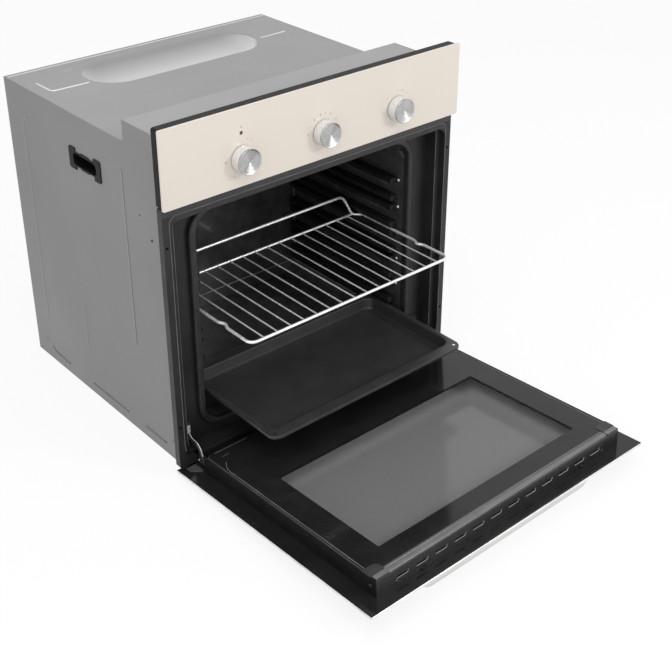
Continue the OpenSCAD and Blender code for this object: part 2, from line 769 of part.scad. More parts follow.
module hinge_pin() {
    rod_x(-leaf_x - leaf_t - 1, -ear_x + 1, -hinge_y, hinge_z, pin_d / 2);
}
module hinge_pin_left() {
    color(bright) at_front() hinge_pin();
}
module hinge_pin_right() {
    color(bright) at_front() side(1) hinge_pin();
}
// Door half of a hinge, drawn closed
module hinge_leaf() {
    y = -hinge_y;
    difference() {
        union() {
            plate_x(-leaf_x - leaf_t, -leaf_x) polygon([[y - 4.2, hinge_z], [y + 4.2, hinge_z],
                [y + 10, box_z0 + 8], [y + 16, box_z0 + 44], [y - 3.6, box_z0 + 44],
                [y - 3.6, box_z0]]);
            rod_x(-leaf_x - leaf_t, -leaf_x, y, hinge_z, eye_d / 2);
            block(-box_x + door_wall, -leaf_x - leaf_t + eps, y - 3, y + 12,
                box_z0 + 12, box_z0 + 40);
        }
        rod_x(-casing_w, 0, y, hinge_z, pin_d / 2 + run_gap);
    }
}
module hinge_leaf_left() {
    color(bright) door_pose() hinge_leaf();
}
module hinge_leaf_right() {
    color(bright) door_pose() side(1) hinge_leaf();
}
module door_outer_glass() {
    color(black) door_pose() difference() {
        plate_y(glass_y0, -fascia_d)
            polygon(round_box(-door_w / 2, door_z0, door_w / 2, door_top, 2));
        for (x = [-1, 1])
            rod_y(glass_y0 - 1, -fascia_d + 1, x * bolt_x, handle_z, 2.5);
    }
}
module door_inner_glass() {
    color([0.2, 0.2, 0.2]) door_pose() block(-box_x + door_wall, box_x - door_wall,
        box_y1 - inner_glass_t, box_y1, box_z0 + door_wall, box_z1 - rail_h + 14);
}
module door_side_profile() {
    difference() {
        union() {
            block(-box_x, -box_x + door_wall, -fascia_d, box_y1, box_z0, box_z1);
            block(-box_x, -box_x + 9, -fascia_d, -fascia_d + door_wall, box_z0,
                box_z1 - rail_h);
        }
        rod_x(-box_x - 1, -box_x + door_wall + 1, (box_y1 - fascia_d) / 2, box_z1 - 10, 1.8);
    }
}
module door_side_profile_left() {
    color(black) door_pose() door_side_profile();
}
module door_side_profile_right() {
    color(black) door_pose() side(1) door_side_profile();
}
// Slotted rail with its proud ends
module door_top_rail() {
    w = box_x - door_wall;
    color(black) door_pose() difference() {
        union() {
            block(-w, w, -fascia_d, box_y1, box_z1 - rail_h, box_z1);
            for (x = [-1, 1]) side(x)
                block(-w, -w + 22, box_y1 - eps, box_y1 + 2, box_z1 - 9, box_z1 - eps);
        }
        block(-w + door_wall, w - door_wall, -fascia_d - 1, box_y1 - door_wall - inner_glass_t,
            box_z1 - rail_h - 1, box_z1 - door_wall);
        block(-w - 1, w + 1, box_y1 - inner_glass_t - seam, box_y1 + 3,
            box_z1 - rail_h - 1, box_z1 - rail_h + 14 + seam);
        for (i = [0:slot_n - 1])
            block((i - (slot_n - 1) / 2) * slot_pitch - slot_l / 2,
                (i - (slot_n - 1) / 2) * slot_pitch + slot_l / 2,
                -fascia_d + 11, -fascia_d + 11 + slot_w, box_z1 - door_wall - 1, box_z1 + 1);
        for (x = [-1, 1]) {
            side(x) rod_x(-w - 1, -w + door_wall + 1, (box_y1 - fascia_d) / 2, box_z1 - 10, 1.8);
            block(x * bolt_x - bolt_head_d / 2 - 1.5, x * bolt_x + bolt_head_d / 2 + 1.5,
                -fascia_d - 1, -fascia_d + 4, handle_z - bolt_head_d / 2 - 1.5, box_z1 + 1);
        }
    }
}
module door_bottom_rail() {
    w = ear_x - 4;
    color(black) door_pose() difference() {
        block(-w, w, -fascia_d, box_y1 - inner_glass_t - seam, box_z0, box_z0 + low_rail_h);
        block(-w - 1, w + 1, -fascia_d + door_wall, box_y1 - inner_glass_t - door_wall,
            box_z0 + door_wall, box_z0 + low_rail_h + 1);
    }
}
module door_glass_pads() {
    w = box_x - door_wall - 20;
    color([0.25, 0.25, 0.25]) door_pose() for (x = [-1, 1])
        rod_y(box_y1 - inner_glass_t - 4, box_y1 - inner_glass_t, x * w,
            box_z1 - rail_h - 16, 16);
}
module door_side_screws() {
    color(bright) door_pose() for (x = [-1, 1]) side(x) {
        rod_x(-box_x - 1.4, -box_x, (box_y1 - fascia_d) / 2, box_z1 - 10, 3.2);
        rod_x(-box_x - eps, -box_x + 8, (box_y1 - fascia_d) / 2, box_z1 - 10, 1.7);
    }
}
// Bow handle: a flat bar with both ends bent in to the glass
module door_handle() {
    x = handle_l / 2;
    y = glass_y0 - handle_reach;
    r = handle_bend;
    f = handle_foot;
    q = handle_bend / 3;
    color(silver) door_pose() difference() {
        plate_z(handle_z - handle_h / 2, handle_z + handle_h / 2) difference() {
            polygon(concat([[x, glass_y0], [-x, glass_y0]],
                arc(-x + r, y + r, r, 180, 270, 8), arc(x - r, y + r, r, 270, 360, 8)));
            polygon(concat([[x - f, glass_y0 + 1], [-x + f, glass_y0 + 1]],
                arc(-x + f + q, y + handle_t + q, q, 180, 270, 6),
                arc(x - f - q, y + handle_t + q, q, 270, 360, 6)));
        }
        for (s = [-1, 1])
            rod_y(glass_y0 - 12, glass_y0 + 1, s * bolt_x, handle_z, 2);
    }
}
module handle_bolts() {
    color(bright) door_pose() for (s = [-1, 1]) {
        rod_y(glass_y0 - 11, -fascia_d + eps, s * bolt_x, handle_z, 1.9);
        rod_y(-fascia_d, -fascia_d + 3, s * bolt_x, handle_z, bolt_head_d / 2);
    }
}
// Quarter ring of wire in the rack's plane, from angle a on
module rack_corner(x, y, a) {
    translate([x, y, rack_z]) rotate([0, 0, a]) rotate_extrude(angle = 90)
        translate([rack_bend, 0]) circle(r = rack_r);
}
// Chrome wire rack, with side wires that kink for the stop and a raised rear bow
module wire_rack() {
    r = rack_r;
    k = 5;
    c = rack_bend;
    ky = rack_y0 + kink_d;
    color(silver) at_front() {
        rod_x(-rack_x + c, rack_x - c, rack_y0, rack_z, r);
        rod_x(-bow_x, bow_x, rack_y1 - 9, rack_z, r * 0.85);
        rack_corner(-rack_x + c, rack_y0 + c, 180);
        rack_corner(rack_x - c, rack_y0 + c, 270);
        for (s = [-1, 1]) {
            p = [[s * rack_x, ky - 5, rack_z], [s * (rack_x - k), ky, rack_z],
                [s * (rack_x - k), ky + 8, rack_z], [s * rack_x, ky + 13, rack_z],
                [s * rack_x, rack_y1 - 22, rack_z], [s * bow_x, rack_y1 - 9, rack_z],
                [s * bow_top_x, rack_y1, rack_z + bow_h - 6],
                [s * (bow_top_x - 9), rack_y1, rack_z + bow_h]];
            rod_y(rack_y0 + c, ky - 5, s * rack_x, rack_z, r);
            for (i = [0:len(p) - 2]) wire(p[i], p[i + 1], r);
            for (i = [0:len(p) - 1]) knuckle(p[i], r);
        }
        rod_x(-bow_top_x + 9, bow_top_x - 9, rack_y1, rack_z + bow_h, r);
        for (i = [0:rack_n - 1]) {
            x = (i - (rack_n - 1) / 2) * 2 * rack_x / (rack_n + 1);
            rod_y(rack_y0, rack_y1 - 9, x, rack_z, rack_thin / 2);
        }
    }
}
module tray_outline(inset, r) {
    polygon(round_box(-tray_w / 2 + inset, tray_y0 + inset, tray_w / 2 - inset,
        tray_y1 - inset, r));
}
// Enamelled tray with a flat rim, a turned down edge and two holes in front
module baking_tray() {
    z = tray_z + tray_lip;
    color(black) at_front() difference() {
        union() {
            plate_z(tray_z, z) tray_outline(0, 16);
            plate_z(z - tray_deep, z) pan_outline(0);
        }
        plate_z(tray_z - eps, z - tray_t) difference() {
            tray_outline(tray_t, 15);
            pan_outline(0);
        }
        plate_z(z - tray_deep + tray_t, z + 1) pan_outline(tray_t);
        for (x = [-1, 1]) translate([x * (tray_w / 2 - 11), tray_y0 + 11, z - 5])
            cylinder(h = 10, r = 2.8);
    }
}
module pan_outline(inset) {
    x = rib_x - 4;
    polygon(round_box(-x + inset, tray_y0 + tray_rim + inset, x - inset,
        tray_y1 - tray_rim - inset, 18));
}
side_panel_left();
side_panel_right();
top_cover();
control_box_cover();
rear_panel();
base_plate();
front_frame();
door_gasket();
cavity_roof();
cavity_floor();
cavity_side_left();
cavity_side_right();
shelf_ribs_left();
shelf_ribs_right();
cavity_back();
insulation();
grill_element();
lower_element();
lamp_holder();
lamp_bulb();
lamp_lens();
sensor_bulb();
thermostat();
function_switch();
timer_unit();
terminal_box();
cable_gland();
fascia_support();
control_panel_glass();
pilot_lamp();
temperature_knob();
function_knob();
timer_knob();
temperature_shaft();
function_shaft();
timer_shaft();
hand_grip_left();
hand_grip_right();
casing_screws();
hinge_bracket_left();
hinge_bracket_right();
hinge_pin_left();
hinge_pin_right();
hinge_leaf_left();
hinge_leaf_right();
door_outer_glass();
door_inner_glass();
door_side_profile_left();
door_side_profile_right();
door_top_rail();
door_bottom_rail();
door_glass_pads();
door_side_screws();
door_handle();
handle_bolts();
wire_rack();
baking_tray();
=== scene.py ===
import json
import math
import bmesh
import bpy
from mathutils import Matrix, Vector


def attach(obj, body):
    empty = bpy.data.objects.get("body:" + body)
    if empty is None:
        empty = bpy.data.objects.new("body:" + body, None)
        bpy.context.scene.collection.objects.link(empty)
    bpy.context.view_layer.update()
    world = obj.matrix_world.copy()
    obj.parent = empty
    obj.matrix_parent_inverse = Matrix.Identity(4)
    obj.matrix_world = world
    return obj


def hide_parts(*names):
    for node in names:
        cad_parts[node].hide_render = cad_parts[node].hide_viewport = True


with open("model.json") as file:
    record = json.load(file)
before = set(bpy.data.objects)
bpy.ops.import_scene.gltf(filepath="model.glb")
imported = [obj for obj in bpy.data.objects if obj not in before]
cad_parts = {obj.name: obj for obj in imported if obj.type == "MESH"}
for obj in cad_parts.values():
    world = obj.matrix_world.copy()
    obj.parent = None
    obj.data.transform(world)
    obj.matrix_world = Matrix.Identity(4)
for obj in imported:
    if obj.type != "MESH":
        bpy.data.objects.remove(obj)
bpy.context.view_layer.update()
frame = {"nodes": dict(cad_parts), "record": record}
nodes = frame["nodes"]
frontY = -0.245                 # front of the casing
doorAngle = math.radians(86.5)  # from closed to open
doorPivot = Vector((0, frontY - 0.012, 0.0175))
print("frame loaded:", len(nodes), "nodes")

# ---------- camera, light and floor ----------

cameraPlace = {"location": (-1.112, -1.586, 1.228), "turn": (61.89, 0.0, -40.79), "lens": 64.29, "shiftY": -0.119,
               "clip": (0.02, 60)}
studio = {"sky": (1.0, 1.0, 1.0, 1), "skyStrength": 0.66, "floor": (0.95, 0.95, 0.95, 1), "floorSize": 40,
          # how much of the floor is seen as plain white; the rest keeps its shadow
          "floorWhite": 0.87, "white": (1, 1, 1, 1)}
lamps = {
    # place, aim, power and size
    "keyLamp": ((-0.6, -0.9, 2.6), (0, 0, 0.3), 24, 2.0),
    "fillLamp": ((-2.2, -1.4, 1.2), (0, 0, 0.3), 7, 1.6),
    "rightLamp": ((1.1, -2.3, 1.5), (0, -0.2, 0.4), 16, 0.5),
}


def makeCamera(place):
    bpy.ops.object.camera_add(location=place["location"], rotation=[math.radians(a) for a in place["turn"]])
    camera = bpy.context.active_object
    camera.name = "studioCamera"
    camera.data.lens = place["lens"]
    camera.data.shift_y = place["shiftY"]
    camera.data.clip_start, camera.data.clip_end = place["clip"]
    bpy.context.scene.camera = camera


def makeLamp(name, place, target, power, size):
    bpy.ops.object.light_add(type="AREA", location=place)
    lamp = bpy.context.active_object
    lamp.name = name
    lamp.data.energy = power
    lamp.data.size = size
    aim = Vector(target) - Vector(place)
    lamp.rotation_euler = aim.to_track_quat("-Z", "Y").to_euler()


def fillIn(tree, node, inputs):
    # each input is given a value or linked to another node's output
    for key, value in inputs.items():
        if isinstance(value, bpy.types.NodeSocket):
            tree.links.new(value, node.inputs[key])
        else:
            node.inputs[key].default_value = value


def addNode(tree, kind, inputs, **settings):
    node = tree.nodes.new("ShaderNode" + kind)
    for key, value in settings.items():
        setattr(node, key, value)
    fillIn(tree, node, inputs)
    return node.outputs


def mathNode(tree, operation, *values):
    return addNode(tree, "Math", dict(enumerate(values)), operation=operation)[0]


def seenDirectly(tree):
    # 1 for what the camera sees, straight, mirrored or through glass, and 0 for what only lights the scene
    rays = addNode(tree, "LightPath", {})
    seen = mathNode(tree, "MAXIMUM", rays["Is Camera Ray"], rays["Is Glossy Ray"])
    return mathNode(tree, "MAXIMUM", seen, rays["Is Transmission Ray"])


def emptyTree(owner):
    owner.use_nodes = True
    owner.node_tree.nodes.clear()
    return owner.node_tree


def makeWorld(values):
    world = bpy.data.worlds.new("studioWorld")
    bpy.context.scene.world = world
    tree = emptyTree(world)
    soft = addNode(tree, "Background", {"Color": values["sky"], "Strength": values["skyStrength"]})[0]
    plain = addNode(tree, "Background", {"Color": values["white"], "Strength": 1.0})[0]
    mixed = addNode(tree, "MixShader", {0: seenDirectly(tree), 1: soft, 2: plain})[0]
    addNode(tree, "OutputWorld", {"Surface": mixed})


def makeFloor(values):
    bpy.ops.object.select_all(action="DESELECT")
    bpy.ops.mesh.primitive_plane_add(size=values["floorSize"], location=(0, 0, 0))
    floor = bpy.context.active_object
    floor.name = "studioFloor"
    material = bpy.data.materials.new("studioFloor")
    tree = emptyTree(material)
    matt = addNode(tree, "BsdfDiffuse", {"Color": values["floor"]})[0]
    glow = addNode(tree, "Emission", {"Color": values["white"], "Strength": 1.0})[0]
    white = mathNode(tree, "MULTIPLY", seenDirectly(tree), values["floorWhite"])
    mixed = addNode(tree, "MixShader", {0: white, 1: matt, 2: glow})[0]
    addNode(tree, "OutputMaterial", {"Surface": mixed})
    floor.data.materials.append(material)


makeCamera(cameraPlace)
makeWorld(studio)
makeFloor(studio)
for lampName, lampValues in lamps.items():
    makeLamp(lampName, *lampValues)
bpy.context.scene.view_settings.view_transform = "Standard"
print("camera, lamps and floor made")

# ---------- materials ----------

finishes = {
    # dark and light tone, size of the mottle, roughness from and to, strength of the bumps, their size, and what
    # else differs from a matt finish
    "casingSteel": ((0.212, 0.212, 0.213), (0.232, 0.232, 0.233), 3, (0.44, 0.52), 0.03, 900, {"metallic": 0.2}),
    "topSteel": ((0.275, 0.275, 0.276), (0.305, 0.305, 0.306), 3, (0.38, 0.46), 0.03, 900, {"metallic": 0.25}),
    "blackFrame": ((0.019, 0.019, 0.02), (0.026, 0.026, 0.027), 14, (0.3, 0.42), 0.03, 1200, {"specular": 0.25}),
    "cavityEnamel": ((0.042, 0.042, 0.043), (0.064, 0.064, 0.065), 40, (0.12, 0.2), 0.06, 300, {"coat": 0.4}),
    "ribEnamel": ((0.011, 0.011, 0.0112), (0.017, 0.017, 0.0172), 40, (0.34, 0.4), 0.01, 300, {"specular": 0.25}),
    # painted highlight: a light enamel for the cavity's seams and edges
    "cornerHighlightEnamel": ((0.2, 0.2, 0.201), (0.26, 0.26, 0.261), 60, (0.2, 0.28), 0.04, 500),
    "stripEnamel": ((0.02, 0.02, 0.0202), (0.027, 0.027, 0.0272), 30, (0.34, 0.4), 0.05, 700),
    "trayEnamel": ((0.027, 0.027, 0.028), (0.034, 0.034, 0.035), 30, (0.3, 0.38), 0.05, 500),
    "sealRubber": ((0.01, 0.01, 0.01), (0.02, 0.02, 0.02), 60, (0.5, 0.65), 0.1, 1500),
    "padRubber": ((0.07, 0.07, 0.07), (0.1, 0.1, 0.1), 80, (0.6, 0.75), 0.1, 1500),
    "mineralWool": ((0.55, 0.49, 0.36), (0.75, 0.7, 0.58), 50, (0.9, 1.0), 0.8, 260),
    "elementSteel": ((0.16, 0.155, 0.15), (0.28, 0.275, 0.27), 25, (0.4, 0.6), 0.1, 700, {"metallic": 0.8}),
    "lampCeramic": ((0.72, 0.7, 0.66), (0.84, 0.82, 0.78), 60, (0.5, 0.65), 0.1, 900),
    "brightSteel": ((0.5, 0.5, 0.51), (0.68, 0.68, 0.69), 60, (0.22, 0.36), 0.05, 900, {"metallic": 0.75}),
    "switchPlastic": ((0.62, 0.6, 0.55), (0.7, 0.68, 0.63), 50, (0.45, 0.55), 0.05, 1200),
    "blackPlastic": ((0.006, 0.006, 0.006), (0.01, 0.01, 0.01), 70, (0.4, 0.5), 0.06, 1600, {"specular": 0.12}),
    "railPlastic": ((0.011, 0.011, 0.011), (0.018, 0.018, 0.018), 60, (0.26, 0.34), 0.03, 1600, {"specular": 0.7}),
    "boltSteel": ((0.015, 0.015, 0.016), (0.03, 0.03, 0.031), 60, (0.4, 0.5), 0.05, 900, {"specular": 0.3}),
    "creamGlass": ((0.683, 0.616, 0.549), (0.701, 0.634, 0.565), 3, (0.12, 0.2), 0.01, 200, {"coat": 0.5}),
    "pilotAmber": ((0.05, 0.012, 0.008), (0.1, 0.025, 0.015), 300, (0.1, 0.2), 0.02, 900, {"coat": 0.6}),
    "handleMetal": ((0.6, 0.6, 0.575), (0.74, 0.74, 0.71), 30, (0.24, 0.34), 0.05, 700,
                    {"metallic": 1.0, "stretch": (0.05, 1, 1)}),
    "rackChrome": ((0.86, 0.86, 0.86), (0.94, 0.94, 0.94), 40, (0.2, 0.3), 0.02, 500, {"metallic": 0.5}),
    "glassEdge": ((0.62, 0.66, 0.64), (0.8, 0.83, 0.81), 40, (0.15, 0.25), 0.03, 600),
    "innerEdge": ((0.09, 0.092, 0.092), (0.13, 0.133, 0.133), 40, (0.2, 0.3), 0.03, 600),
    # painted light: a lit copy of the rail plastic for its ledge
    "railLedgeLit": ((0.125, 0.125, 0.126), (0.155, 0.155, 0.156), 30, (0.28, 0.36), 0.03, 900, {"specular": 0.6}),
    # painted highlight: a lighter grey for the lines along the frame's folded edges
    "foldHighlight": ((0.07, 0.07, 0.071), (0.12, 0.12, 0.121), 40, (0.3, 0.4), 0.03, 900),
    "seamShade": ((0.1, 0.1, 0.101), (0.15, 0.15, 0.151), 20, (0.45, 0.55), 0.03, 900),
    # painted light: a lighter copy of the cover's steel for the dimple's lit bowl
    "dimpleLitSteel": ((0.34, 0.34, 0.341), (0.38, 0.38, 0.381), 20, (0.3, 0.4), 0.03, 900, {"metallic": 0.3}),
    # painted highlight: a bright steel for the top beads and the rear lip
    "beadHighlightSteel": ((0.62, 0.62, 0.622), (0.74, 0.74, 0.742), 20, (0.3, 0.4), 0.03, 900, {"metallic": 0.3}),
    "boxSteel": ((0.305, 0.305, 0.306), (0.335, 0.335, 0.336), 3, (0.38, 0.46), 0.03, 900, {"metallic": 0.25}),
    "screwSteel": ((0.2, 0.2, 0.202), (0.28, 0.28, 0.283), 120, (0.32, 0.44), 0.05, 1200, {"metallic": 0.3}),
    "knobSide": ((0.74, 0.74, 0.73), (0.82, 0.82, 0.81), 200, (0.28, 0.36), 0.03, 1500, {"metallic": 0.45}),
    "hingeSteel": ((0.82, 0.82, 0.82), (0.93, 0.93, 0.93), 120, (0.24, 0.36), 0.05, 1200, {"metallic": 0.35}),
    "armSteel": ((0.07, 0.07, 0.071), (0.13, 0.13, 0.131), 90, (0.24, 0.36), 0.05, 1200, {"metallic": 0.6}),
    # painted highlight: a light grey for the edges of the rail's slots and holes
    "lipHighlight": ((0.19, 0.19, 0.192), (0.27, 0.27, 0.272), 60, (0.3, 0.4), 0.03, 900),
    "capPlastic": ((0.03, 0.03, 0.031), (0.042, 0.042, 0.043), 60, (0.35, 0.45), 0.04, 1400, {"specular": 0.3}),
    "ledgeEnamel": ((0.055, 0.055, 0.056), (0.085, 0.085, 0.086), 30, (0.2, 0.3), 0.03, 600),
    "markInk": ((0.27, 0.235, 0.2), (0.37, 0.33, 0.29), 300, (0.4, 0.5), 0.02, 900),
}
# the finish of each slot of the record
finishOfSlot = {"casing_steel": "casingSteel", "top_steel": "topSteel", "black_frame": "blackFrame",
                "enamel": "cavityEnamel", "tray_enamel": "trayEnamel", "rubber": "sealRubber", "pad": "padRubber",
                "wool": "mineralWool", "element_steel": "elementSteel", "ceramic": "lampCeramic",
                "bright_steel": "brightSteel", "switch_plastic": "switchPlastic", "black_plastic": "blackPlastic",
                "cream_glass": "creamGlass", "lamp_red": "pilotAmber", "handle_metal": "handleMetal",
                "chrome": "rackChrome", "clear_glass": "clearGlass", "black_glass": "dottedGlass",
                "inner_glass": "innerPrint", "knob_metal": "brightSteel"}
materials = {}
roughnessFiner = 2.5  # how much finer than the tone the roughness varies
coatRoughness = 0.05


def newMaterial(name):
    material = bpy.data.materials.new(name)
    material.use_nodes = True
    tree = material.node_tree
    materials[name] = material
    return tree, tree.nodes["Principled BSDF"], tree.nodes.new("ShaderNodeTexCoord").outputs["Object"]


def noiseFrom(tree, where, size, detail=3.0, stretch=None):
    if stretch:
        where = addNode(tree, "Mapping", {"Scale": stretch, "Vector": where})["Vector"]
    return addNode(tree, "TexNoise", {"Scale": size, "Detail": detail, "Vector": where})["Fac"]


def toneFrom(tree, factor, dark, light, start=0.35, end=0.65):
    ramp = tree.nodes.new("ShaderNodeValToRGB")
    for element, place, tone in zip(ramp.color_ramp.elements, (start, end), (dark, light)):
        element.position = place
        element.color = (*tone, 1)
    tree.links.new(factor, ramp.inputs["Fac"])
    return ramp.outputs["Color"]


def rangeFrom(tree, factor, low, high, start=0.3, end=0.7):
    return addNode(tree, "MapRange", {"Value": factor, "From Min": start, "From Max": end, "To Min": low,
                                      "To Max": high})["Result"]


def bumpFrom(tree, height, strength, distance=0.0004):
    return addNode(tree, "Bump", {"Strength": strength, "Distance": distance, "Height": height})["Normal"]


def makeFinish(name, dark, light, mottle, rough, bump, grain, others=None):
    tree, shader, where = newMaterial(name)
    others = others or {}
    stretch = others.get("stretch")
    fillIn(tree, shader, {
        "Base Color": toneFrom(tree, noiseFrom(tree, where, mottle, 4.0, stretch), dark, light),
        "Roughness": rangeFrom(tree, noiseFrom(tree, where, mottle * roughnessFiner, 3.0, stretch), *rough),
        "Normal": bumpFrom(tree, noiseFrom(tree, where, grain, 2.0, stretch), bump),
        "Metallic": others.get("metallic", 0.0), "Specular IOR Level": others.get("specular", 0.5),
        "Coat Weight": others.get("coat", 0.0), "Coat Roughness": coatRoughness})


for finishName, finishValues in finishes.items():
    makeFinish(finishName, *finishValues)

# black print of the outer door glass with its window of fine dots, from the front and on its inner face
dotPrint = {"black": ((0.012, 0.012, 0.013), (0.017, 0.017, 0.018)),
            "back": ((0.10, 0.10, 0.101), (0.12, 0.12, 0.121)),
            "dots": ((0.155, 0.155, 0.158), (0.25, 0.25, 0.254)), "pitch": 0.0026,
            "windowX": 0.212, "windowNear": 0.128, "windowFar": 0.409, "backWindowX": 0.255, "backX": 0.255,
            # edge and the two spans after it: painted light, a paler dot tone on the inner face towards the window's
            # far edges that lifts the shade cast there by the inner glass's border
            "backPast": 0.018, "edge": (0.52, 0.52, 0.524), "paintedLiftX": (0.178, 0.250), "paintedLiftZ": (0.190, 0.130),
            "rough": (0.04, 0.06), "backRough": (0.11, 0.14), "specular": 0.3, "mottle": 20, "grain": 35}


def spanNode(tree, value, ends, offset=0.0):
    # runs smoothly from 0 to 1 between two places
    return addNode(tree, "MapRange", {"Value": value, "From Min": ends[0] - offset, "From Max": ends[1] - offset},
                   interpolation_type="SMOOTHSTEP")["Result"]


def doorPlane(tree, where):
    # x and z of the closed door, from the hinge, at any point of the open one
    turned = addNode(tree, "Mapping", {"Vector": where, "Location": doorPivot, "Rotation": (doorAngle, 0, 0)},
                     vector_type="TEXTURE")["Vector"]
    split = addNode(tree, "SeparateXYZ", {0: turned})
    return split["X"], split["Z"]


def bandTest(tree, value, half, middle=0.0):
    # 1 inside a band, 0 beside it
    return mathNode(tree, "LESS_THAN", mathNode(tree, "ABSOLUTE", mathNode(tree, "SUBTRACT", value, middle)), half)


def mixTones(tree, factor, first, second):
    return addNode(tree, "Mix", {"Factor": factor, "A": first, "B": second}, data_type="RGBA")["Result"]


def makeDottedGlass(name, values, fromBehind):
    tree, shader, where = newMaterial(name)
    x, z = doorPlane(tree, where)
    wave = 2 * math.pi / values["pitch"]
    rows, columns = (mathNode(tree, "SINE", mathNode(tree, "MULTIPLY", place, wave)) for place in (x, z))
    dots = mathNode(tree, "ADD", mathNode(tree, "MULTIPLY", rows, columns), 0.5)
    dotTone = toneFrom(tree, dots, *values["dots"], 0.35, 0.75)
    offset = doorPivot.z
    middle = (values["windowNear"] + values["windowFar"]) / 2 - offset
    half = (values["windowFar"] - values["windowNear"]) / 2
    widest = values["backWindowX"] if fromBehind else values["windowX"]
    inside = mathNode(tree, "MULTIPLY", bandTest(tree, x, widest), bandTest(tree, z, half, middle))
    mottle = noiseFrom(tree, where, values["mottle"])
    black = toneFrom(tree, mottle, *values["black"])
    if fromBehind:  # paler dots towards the window's far edges, and a grey back round the window
        # painted light: the dots are painted paler towards the window's far edges, against the shade of the inner
        # glass's border
        paintedLiftAcross = spanNode(tree, mathNode(tree, "ABSOLUTE", x), values["paintedLiftX"])
        paintedLiftAlong = spanNode(tree, z, values["paintedLiftZ"], offset)
        dotTone = mixTones(tree, mathNode(tree, "MAXIMUM", paintedLiftAcross, paintedLiftAlong), dotTone, (*values["edge"], 1))
        behind = mathNode(tree, "MULTIPLY", bandTest(tree, x, values["backX"]),
                          bandTest(tree, z, half + values["backPast"], middle))
        black = mixTones(tree, behind, black, toneFrom(tree, mottle, *values["back"]))
    rough = values["backRough"] if fromBehind else values["rough"]
    fillIn(tree, shader, {"Base Color": mixTones(tree, inside, black, dotTone),
                          "Roughness": rangeFrom(tree, noiseFrom(tree, where, values["grain"]), *rough),
                          "Specular IOR Level": values["specular"]})


makeDottedGlass("dottedGlass", dotPrint, False)
makeDottedGlass("dottedGlassBack", dotPrint, True)


clearForm = {"lighter": 1.12, "mottle": 12, "rougher": 0.04, "grain": 30, "bump": 0.01, "bumpSize": 150, "ior": 1.45,
             # name, tone, roughness, transmission and alpha
             "kinds": (("clearGlass", (0.86, 0.9, 0.9), 0.02, 0.9, 1.0),
                       ("windowPane", (0.10, 0.10, 0.104), 0.04, 0.0, 0.06))}


def makeClearGlasses(values):
    for name, tone, rough, transmission, alpha in values["kinds"]:
        tree, shader, where = newMaterial(name)
        lighter = [value * values["lighter"] for value in tone]
        fillIn(tree, shader, {
            "Base Color": toneFrom(tree, noiseFrom(tree, where, values["mottle"]), tone, lighter),
            "Roughness": rangeFrom(tree, noiseFrom(tree, where, values["grain"]), rough, rough + values["rougher"]),
            "Normal": bumpFrom(tree, noiseFrom(tree, where, values["bumpSize"]), values["bump"]),
            "Transmission Weight": transmission, "Alpha": alpha, "IOR": values["ior"]})


makeClearGlasses(clearForm)

printForm = {"bandX": 0.2386, "bandZ": 0.4358, "black": ((0.013, 0.013, 0.014), (0.017, 0.017, 0.018)),
             "band": ((0.095, 0.095, 0.096), (0.12, 0.12, 0.121)), "rough": (0.08, 0.13), "specular": 0.3,
             "mottle": 25, "grain": 35}
# painted light for the top cover's pocket: a tone that runs from the cover's grey at its back to a light grey at its
# front wall
pocketSheenForm = {"back": 0.195, "front": 0.090, "mottle": 6, "mottled": 0.06,
              "tones": ((0.255, 0.255, 0.256), (0.84, 0.84, 0.84)),
              "rough": (0.3, 0.38), "grain": 20, "bump": 0.03, "bumpSize": 900, "metallic": 0.25}


def makeInnerPrint(values):
    # black print that stops short of the edge along the top rail, where the grey back of the glass shows
    tree, shader, where = newMaterial("innerPrint")
    x, z = doorPlane(tree, where)
    past = mathNode(tree, "GREATER_THAN", z, values["bandZ"] - doorPivot.z)
    inside = mathNode(tree, "MULTIPLY", bandTest(tree, x, values["bandX"]), past)
    mottle = noiseFrom(tree, where, values["mottle"])
    black, band = (toneFrom(tree, mottle, *values[key]) for key in ("black", "band"))
    fillIn(tree, shader, {"Base Color": mixTones(tree, inside, black, band),
                          "Roughness": rangeFrom(tree, noiseFrom(tree, where, values["grain"]), *values["rough"]),
                          "Specular IOR Level": values["specular"]})


def makePocketPaintedSheen(values):
    # painted light: as the cover at the pocket's back and painted lighter towards its front wall, where the steel
    # catches light and reflection
    tree, shader, where = newMaterial("pocketPaintedSheen")
    y = addNode(tree, "SeparateXYZ", {0: where})["Y"]
    depth = addNode(tree, "MapRange", {"Value": y, "From Min": values["back"], "From Max": values["front"]})["Result"]
    mottle = mathNode(tree, "MULTIPLY", noiseFrom(tree, where, values["mottle"]), values["mottled"])
    fillIn(tree, shader, {
        "Base Color": toneFrom(tree, mathNode(tree, "ADD", depth, mottle), *values["tones"], 0.0, 1.0),
        "Roughness": rangeFrom(tree, noiseFrom(tree, where, values["grain"]), *values["rough"]),
        "Normal": bumpFrom(tree, noiseFrom(tree, where, values["bumpSize"]), values["bump"]),
        "Metallic": values["metallic"]})


makePocketPaintedSheen(pocketSheenForm)
makeInnerPrint(printForm)


def makeTurnedMetal(name, centre, values):
    # fine rings turned round the knob's own axis
    tree, shader, where = newMaterial(name)
    where = addNode(tree, "Mapping", {"Location": [-c for c in centre], "Vector": where})["Vector"]
    rings = addNode(tree, "TexWave", {"Scale": values["rings"], "Distortion": values["waver"], "Vector": where},
                    wave_type="RINGS", rings_direction="Y")["Fac"]
    fillIn(tree, shader, {
        "Base Color": toneFrom(tree, noiseFrom(tree, where, values["mottle"], 2.0), *values["tones"], 0.3, 0.7),
        "Roughness": rangeFrom(tree, noiseFrom(tree, where, values["grain"]), *values["rough"]),
        "Normal": bumpFrom(tree, rings, values["bump"], values["bumpHigh"]), "Metallic": 1.0,
        "Anisotropic": values["anisotropic"],
        "Tangent": addNode(tree, "Tangent", {}, direction_type="RADIAL", axis="Y")["Tangent"]})


